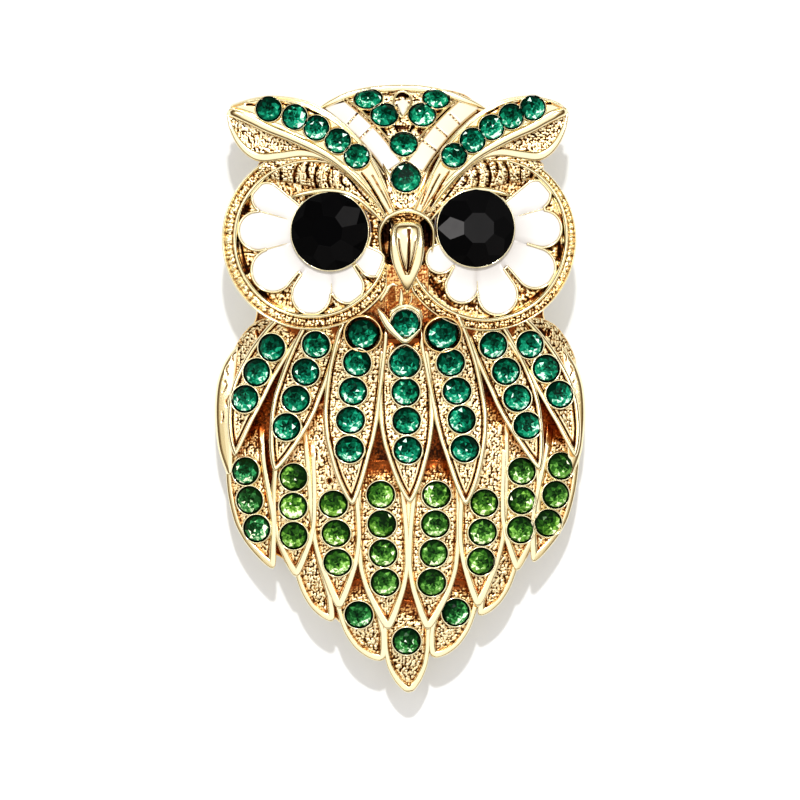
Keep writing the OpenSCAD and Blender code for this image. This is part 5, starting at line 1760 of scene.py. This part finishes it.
        hood = mound(((209.5, 407, 0.4, 0.8), (212, 406.8, 1.5, 1.25), (217, 406, 2.2, 1.35), (224, 405.6, 2.5, 1.2),
                      (233, 405.6, 2.55, 0.8), (243, 406, 2.45, 0.4), (254, 406.5, 2.2, 0.15), (262, 407, 1.9, 0.0),
                      (268, 407, 1.6, -0.1)), 0.45, BEAK_SLOTS, 0.24)
        shield = mound(((220, 407.2, 0.8, 1.2), (226, 407.2, 1.38, 1.6), (236, 407.2, 1.62, 1.85),
                        (249, 407.2, 1.7, 1.95), (262, 407.2, 1.5, 1.8), (273, 407.2, 1.1, 1.6),
                        (283, 407.2, 0.62, 1.3), (290, 407.2, 0.27, 0.95), (294.5, 407.2, 0.05, 0.6)), 0.5,
                       grooves, low=1.35)
        drop = mound(((220.5, 407, 0.25, 1.5), (223, 407, 0.85, 2.05), (228, 407, 1.18, 2.5), (236, 407, 1.26, 2.75),
                      (247, 407, 1.08, 2.8), (257, 407, 0.76, 2.6), (267, 407, 0.38, 2.2), (276, 407, 0.05, 1.6)), 0.5,
                     streaks, low=2.0)
        arch = Ridge.through([(x, y, z, w, 0.42) for x, y, z, w in (
            (381.5, 252, -0.1, 0.1), (379.8, 240, 0.35, 0.17), (380.5, 229, 0.8, 0.2), (386, 219.5, 1.1, 0.22),
            (395, 213.5, 1.25, 0.24), (406.9, 210.8, 1.3, 0.26), (418.5, 213.5, 1.25, 0.24), (427.5, 219.5, 1.1, 0.22),
            (433, 229, 0.8, 0.2), (433.5, 240, 0.35, 0.17), (432, 252, -0.1, 0.1))], lambda x, y: top_z + 0 * x)
        return [hood, shield, drop, arch.solid()]

    def cells(self, side: Side) -> list[Patch]:
        """The enamel cells of one stripe: slabs with crowned tops and soft edges."""
        leaf, made = STRIPES[side.value], []
        length, half = leaf.length(), leaf.half * HALF_W - STRIPE_LINE
        line = STRIPE_LINE / 2 / length
        outer = 1 if side is Side.LEFT else -1
        u = np.concatenate([[-1, -0.97, -0.9], np.linspace(-0.8, 0.8, 9), [0.9, 0.97, 1]])
        v = np.linspace(-1, 1, 24)[:, None]
        soft = np.sqrt(unit(1 - np.abs(u) ** 14))[None, :] * np.sqrt(unit(1 - np.abs(v) ** 20))
        for start, end in CELLS[side.value]:
            t = np.linspace(start + line, end - line, len(v))
            spot, way = leaf.axis(t), leaf.way(t)
            normal, along = left_of(way), way / np.linalg.norm(way, axis=1)[:, None]
            # The cell at the crown ends on a slant.
            slant = 0.08 if end > 0.9 else 0.0
            drift = slant * length * outer * u * ((t - t[0]) / (t[-1] - t[0]))[:, None] ** 2
            x, y = (spot[:, k:k + 1] + half * u * normal[:, k:k + 1] + drift * along[:, k:k + 1] for k in (0, 1))
            grid = zipped(x, y, shell_z(x, y) + STRIPE_UP + (-0.10 + 0.12 * soft))
            foot = grid[:, [-1, 0]].copy()
            foot[..., 2] = shell_z(foot[..., 0], foot[..., 1]) + STRIPE_UP - ENAMEL_T + 0.02
            # The cells' soft edges are painted darker as shade.
            relief = np.hstack([0.6 + 0.4 * soft, np.zeros((len(v), 2))])
            made.append(lofted(np.concatenate([grid, foot], 1), relief))
        return made

    def drop(self) -> Patch:
        """The enamel drop under the crown's rim: a domed round form with a point towards the beak."""
        angle = turn_steps(48)
        reach = 0.55 + 0.55 * unit(1 - apart(angle, -math.pi / 2) / 0.9) ** 1.6
        middle = full_size(DROP_AT)
        rows, marks = [], []
        # The marks paint shade towards the drop's edge.
        for share, up, mark in ((0.02, 0.52, 1), (0.5, 0.49, 1), (0.8, 0.43, 1), (0.94, 0.33, 0.95), (1.0, 0.2, 0.8),
                                (1.0, 0.02, 0.1), (0.02, 0.02, 0.1)):
            x, y = (middle + circle(share * reach, angle)[:, :2]).T
            rows.append(zipped(x, y, shell_z(x, y) + CROWN_UP + SEAT_GAP + up))
            marks.append(np.full(len(angle), mark))
        relief = np.stack(marks)
        return lofted(np.stack(rows), relief)

    def build(self) -> None:
        """Makes the head's pieces."""
        frames = [leaf.solid(BAND_FORM, shell_z, level(STRIPE_UP), CHANNEL_EDGE, ROOT_DEPTH) for leaf in STRIPES]
        self.gilding.dress(self.crown() + frames + self.beak(), "crown_and_beak")
        for side, enamel in zip(Side, (self.white, self.ivory)):
            name = side.name.lower()
            self.gilding.dress(self.side(side), f"brow_{name}")
            enamel.dress(self.cells(side), f"stripe_cells_{name}", f"stripe_{name}")
        self.ivory.dress(self.drop(), "crown_enamel_drop", "crown_drop")


@dataclass
class Face:
    """Both discs with their petals and eyes."""

    gilding: Finish
    white: Finish
    black: Finish

    def build(self) -> None:
        """Makes both sides."""
        for side in Side:
            disc, name = Disc(side), side.name.lower()
            self.gilding.dress(disc.plate(), f"disc_{name}")
            self.gilding.dress(disc.wires() + [disc.cup()], f"disc_wires_{name}")
            self.white.dress(disc.petals(), f"enamel_petals_{name}", f"petals_{name}", sharp=50)
            eye = self.black.dress(disc.stone(), f"eye_{name}", f"eye_stone_{name}", sharp=0)
            bevel = eye.modifiers.new("arris", "BEVEL")
            bevel.width, bevel.segments, bevel.limit_method = 0.03 * MM, 1, "ANGLE"
            bevel.angle_limit = math.radians(5)


@dataclass
class Jewels:
    """All the small stones with their collars."""

    gilding: Finish
    emerald: Finish
    peridot: Finish
    green: Finish

    def build(self) -> None:
        """Makes a piece for each node of stones, and one for all the collars."""
        breast, skirt, tail = (Setting(n, STONE_D) for n in ("breast_stones", "skirt_stones", "tail_stones"))
        for setting, leaves, lift in (
            (breast, BREAST, rising(BREAST_LIFT)), (breast, (THROAT,), level(THROAT_LIFT)),
            (skirt, SKIRT, rising(SKIRT_LIFT)), (tail, TAIL, level(TAIL_LIFT)),
        ):
            for leaf in leaves:
                setting.add_leaf(leaf, shell_z, lift)
        breast.horns = {15: (90, 0.2), 28: (-90, 0.2)}
        breast.pears = {15: (90, 0.17, 1.12), 28: (-90, 0.12, 1.04), 11: (90, 0.0, 1.13), 20: (90, 0.0, 1.13)}
        breast.wells = {11: 1.25, 20: 1.25, 15: 1.1, 28: 1.04}
        crown = Setting("crown_stones", CROWN_STONE_D + 0.1, collar=0.4)
        for spot in full_size(CROWN_AT):
            crown.add(spot, shell_z, CROWN_UP + SEAT_GAP, np.zeros(2))
        crown.horns = {5: (90, 0.22), 4: (-90, 0.1)}
        crown.pears = {5: (90, 0.2, 1.14), 4: (-90, 0.07, 1.02), 0: (90, 0.0, 0.94), 2: (90, 0.0, 0.92)}
        crown.wells = {5: 1.12, 0: 0.94, 2: 0.92}
        crown.broad = {0: 1.11, 2: 1.1, 1: 1.03}
        brows = []
        for side in Side:
            brow = Setting(f"brow_stones_{side.name.lower()}", BROW_STONE_D + 0.26, collar=0.4)
            for spot in BROW_STONES[side.value]:
                brow.add(np.array(seen(*spot)), face_z, BROW_LIFT + SEAT_GAP, np.zeros(2))
            brows.append(brow)
        skirt_tint = np.random.default_rng(5).uniform(0, 0.35, len(skirt.spots))
        skirt_tint[:3] = (0.9, 0.75, 1.0)
        sets = [(setting, self.emerald) for setting in (breast, crown, *brows)]
        sets += [(skirt, self.peridot), (tail, self.green)]
        collars = []
        for seed, (setting, glass) in enumerate(sets, 11):
            tints = np.random.default_rng(seed).uniform(0, 0.5, len(setting.spots))
            stones = setting.stones(skirt_tint if setting is skirt else tints, seed)
            glass.dress(stones, f"cut_{setting.name}", setting.name, sharp=0)
            collars.append(setting.collars())
        self.gilding.dress(collars, "stone_collars")


@dataclass
class Fastening:
    """The bar pin in the hollow back, and the two pads that carry it."""

    metal: Finish
    gilding: Finish
    bar_l: float = 21.0
    bar_w: float = 4.0
    bar_t: float = 0.8
    bar_z: float = 4.7
    wire_d: float = 0.9
    wire_z: float = 1.25
    pin_y: float = 0.26 * HALF_L
    block_w: float = 2.2

    def slab(self, x0: float, x1: float, y0: float, y1: float, z0: float, z1: float, soft: float) -> Patch:
        """A block with soft edges, whose section is a circle with its cosine and sine raised to the power 1/4."""
        angle = turn_steps(48)
        ux, uy = (np.sign(part) * np.abs(part) ** (1 / 4) for part in (np.cos(angle), np.sin(angle)))
        rows = []
        for z, inset in ((z0, soft), (z0 + soft * 0.3, 0.3 * soft), (z0 + soft, 0.0), (z1 - soft, 0.0),
                         (z1 - soft * 0.3, 0.3 * soft), (z1, soft)):
            hx, hy = (x1 - x0) / 2 - inset, (y1 - y0) / 2 - inset
            rows.append(zipped((x0 + x1) / 2 + hx * ux, (y0 + y1) / 2 + hy * uy, z + 0 * angle))
        return lofted(np.stack(rows), 0.85)

    def build(self) -> None:
        """Makes the pin as one piece, and the pads."""
        low, top = self.wire_z - self.wire_d, self.bar_z - self.bar_t
        x, w, y = self.bar_l / 2, self.block_w, self.pin_y
        bar = self.slab(-x, x, y - self.bar_w / 2, y + self.bar_w / 2, top, self.bar_z, 0.12)
        hinge = self.slab(-x, -x + w, y - w / 2, y + w / 2, low, top + 0.1, 0.12)
        # The catch is a little thinner than the hook that it stands in, so that no two faces lie in one plane.
        side = w / 2 - 0.04
        catch = self.slab(x - w + 0.03, x - 0.7 * w, y - side, y + side, low + 0.06, top + 0.1, 0.1)
        hook = self.slab(x - w, x - 0.02, y - w / 2, y + w / 2, low, self.wire_z + self.wire_d / 2, 0.1)
        angle = turn_steps(24)
        span = np.linspace(-x + w / 2, x - w / 2, 60)
        thick = self.wire_d / 2 * np.interp(span, [-x, 0.6 * x, x], [1.0, 0.95, 0.55])
        wire = zipped(
            span[:, None] + 0 * angle, y + thick[:, None] * np.cos(angle), self.wire_z + thick[:, None] * np.sin(angle),
        )
        self.metal.dress([bar, hinge, catch, hook, lofted(wire, 0.9)], "pin_assembly", "bar_pin", sharp=40)
        pads = []
        profile = np.array([(0.01, 0.05), (1.3, 0.05), (1.5, 0.12), (1.6, 0.3), (1.62, 1.6), (1.9, 2.3), (0.01, 2.3)])
        for place in (-0.34 * self.bar_l, 0.34 * self.bar_l):
            points, _ = turned(profile + [0, self.bar_z], 40)
            points[..., 0] += place
            points[..., 1] += y
            pads.append(lofted(points, 0.7))
        self.gilding.dress(pads, "pin_pads", sharp=40)


@dataclass
class Studio:
    """Pale floor, soft light from above and the camera that looks straight down."""

    distance: float = 2.0
    width: float = 0.08
    sensor: float = 36.0
    middle: tuple[float, float, float] = (0.0, -0.00115, 0.006)
    floor_r: float = 2500.0
    floor_z: float = -0.02
    aim_z: float = 0.005

    def camera(self) -> None:
        """A long lens over the middle of the picture, with a picture 80 mm wide at the height of the feathers."""
        data = bpy.data.cameras.new("camera")
        data.sensor_width = self.sensor
        data.lens = self.sensor * self.distance / self.width
        data.clip_start, data.clip_end = 0.05, 20.0
        camera = bpy.data.objects.new("camera", data)
        camera.location = (*self.middle[:2], self.distance + self.middle[2])
        bpy.context.scene.collection.objects.link(camera)
        bpy.context.scene.camera = camera

    def floor(self) -> None:
        """A wide round floor."""
        sides = 96
        points = np.vstack([circle(self.floor_r, turn_steps(sides), self.floor_z), [[0, 0, self.floor_z]]])
        j = np.arange(sides)
        faces = [zipped(j, (j + 1) % sides, np.full(sides, sides))]
        Patch(points, faces).as_object("floor", Tabletop("pale_floor").material())

    def lamp(self, name: str, kind: str, power: float, place: Sequence[float], size: Sequence[float]) -> None:
        """A lamp that points at the brooch: a sun with its angle, or a rectangular softbox with its sides."""
        data = bpy.data.lights.new(name, kind)
        data.energy = power
        if kind == "SUN":
            data.angle = size[0]
        else:
            data.shape, data.size, data.size_y = "RECTANGLE", size[0], size[1]
        lamp = bpy.data.objects.new(name, data)
        lamp.location = place
        aim = np.array(place, float) - [0, 0, self.aim_z]
        flat = math.hypot(aim[0], aim[1])
        lamp.rotation_euler = (math.atan2(flat, aim[2]), 0, math.atan2(aim[0], -aim[1]) if flat else 0)
        bpy.context.scene.collection.objects.link(lamp)

    def sky(self) -> None:
        """Light by height: bright overhead, dim at half height so that slopes read dark, pale at the horizon."""
        world = bpy.data.worlds.new("studio")
        world.use_nodes = True
        bpy.context.scene.world = world
        g = Graph(world.node_tree)
        way = g.add("ShaderNodeTexCoord", {}, {})["Generated"]
        high = g.add("ShaderNodeSeparateXYZ", {}, {"Vector": way})["Z"]
        light = g.ramp(high.limited(), (
            (0.0, (0.9, 0.88, 0.84)), (0.10, (0.55, 0.47, 0.36)), (0.22, (0.15, 0.09, 0.04)),
            (0.38, (0.04, 0.021, 0.009)), (0.52, (0.14, 0.085, 0.04)), (0.66, (0.66, 0.55, 0.38)),
            (0.80, (0.95, 0.93, 0.88)), (1.0, (1.0, 1.0, 0.99)),
        ))
        back = g.add("ShaderNodeBackground", {}, {"Color": light, "Strength": 1.2})["Background"]
        g.add("ShaderNodeOutputWorld", {}, {"Surface": back})

    def build(self) -> None:
        """Sets the whole studio."""
        self.camera()
        self.floor()
        self.sky()
        self.lamp("key", "SUN", 2.3, (0.0, 0.62, 1.0), (math.radians(2.5),))
        self.lamp("left_box", "AREA", 1.5, (-0.9, 0.3, 1.1), (0.25, 0.45))
        self.lamp("right_box", "AREA", 1.2, (0.9, 0.2, 1.2), (0.2, 0.4))
        self.lamp("top_box", "AREA", 1.3, (0.1, 1.0, 1.3), (0.45, 0.18))
        scene = bpy.context.scene
        scene.view_settings.view_transform = "Standard"
        scene.view_settings.look = "None"


def main() -> None:
    """Loads the frame, builds the brooch piece by piece and sets the studio."""
    logging.basicConfig(level=logging.INFO, format="%(message)s")
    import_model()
    gilding = Finish(Gilding("gilding").material(), "gold_plate")
    back_metal = Gilding("pin_gilding", bright=(0.95, 0.74, 0.42), polish=0.22, cloud_pitch=8.0)
    white, ivory, black, emerald, peridot, green = (
        Finish(kind(slot, *colours).material(), slot) for kind, slot, *colours in (
        (Enamel, "white_enamel", (0.76, 0.76, 0.765), (0.50, 0.47, 0.46)),
        (Enamel, "ivory_enamel", (0.80, 0.75, 0.64), (0.55, 0.45, 0.33)),
        (BlackGlass, "black_glass"),
        (FoiledGlass, "emerald_glass", (0.0, 0.010, 0.005), (0.001, 0.09, 0.042), (0.012, 0.40, 0.20),
         (0.75, 1.0, 0.90), (0.0, 0.085, 0.05), (0.010, 0.38, 0.24)),
        (FoiledGlass, "peridot_glass", (0.003, 0.014, 0.003), (0.030, 0.13, 0.010), (0.26, 0.56, 0.07),
         (0.95, 1.0, 0.72), (0.003, 0.06, 0.016), (0.04, 0.36, 0.12)),
        (FoiledGlass, "green_glass", (0.001, 0.010, 0.003), (0.010, 0.080, 0.014), (0.07, 0.40, 0.08),
         (0.85, 1.0, 0.80), (0.002, 0.06, 0.020), (0.03, 0.34, 0.12)),
    ))
    Shell(gilding).build()
    Plumage(gilding).build()
    Head(gilding, white, ivory).build()
    Face(gilding, white, black).build()
    Jewels(gilding, emerald, peridot, green).build()
    Fastening(Finish(back_metal.material(), "pin_metal"), gilding).build()
    Studio().build()


if __name__ == "__main__":
    main()
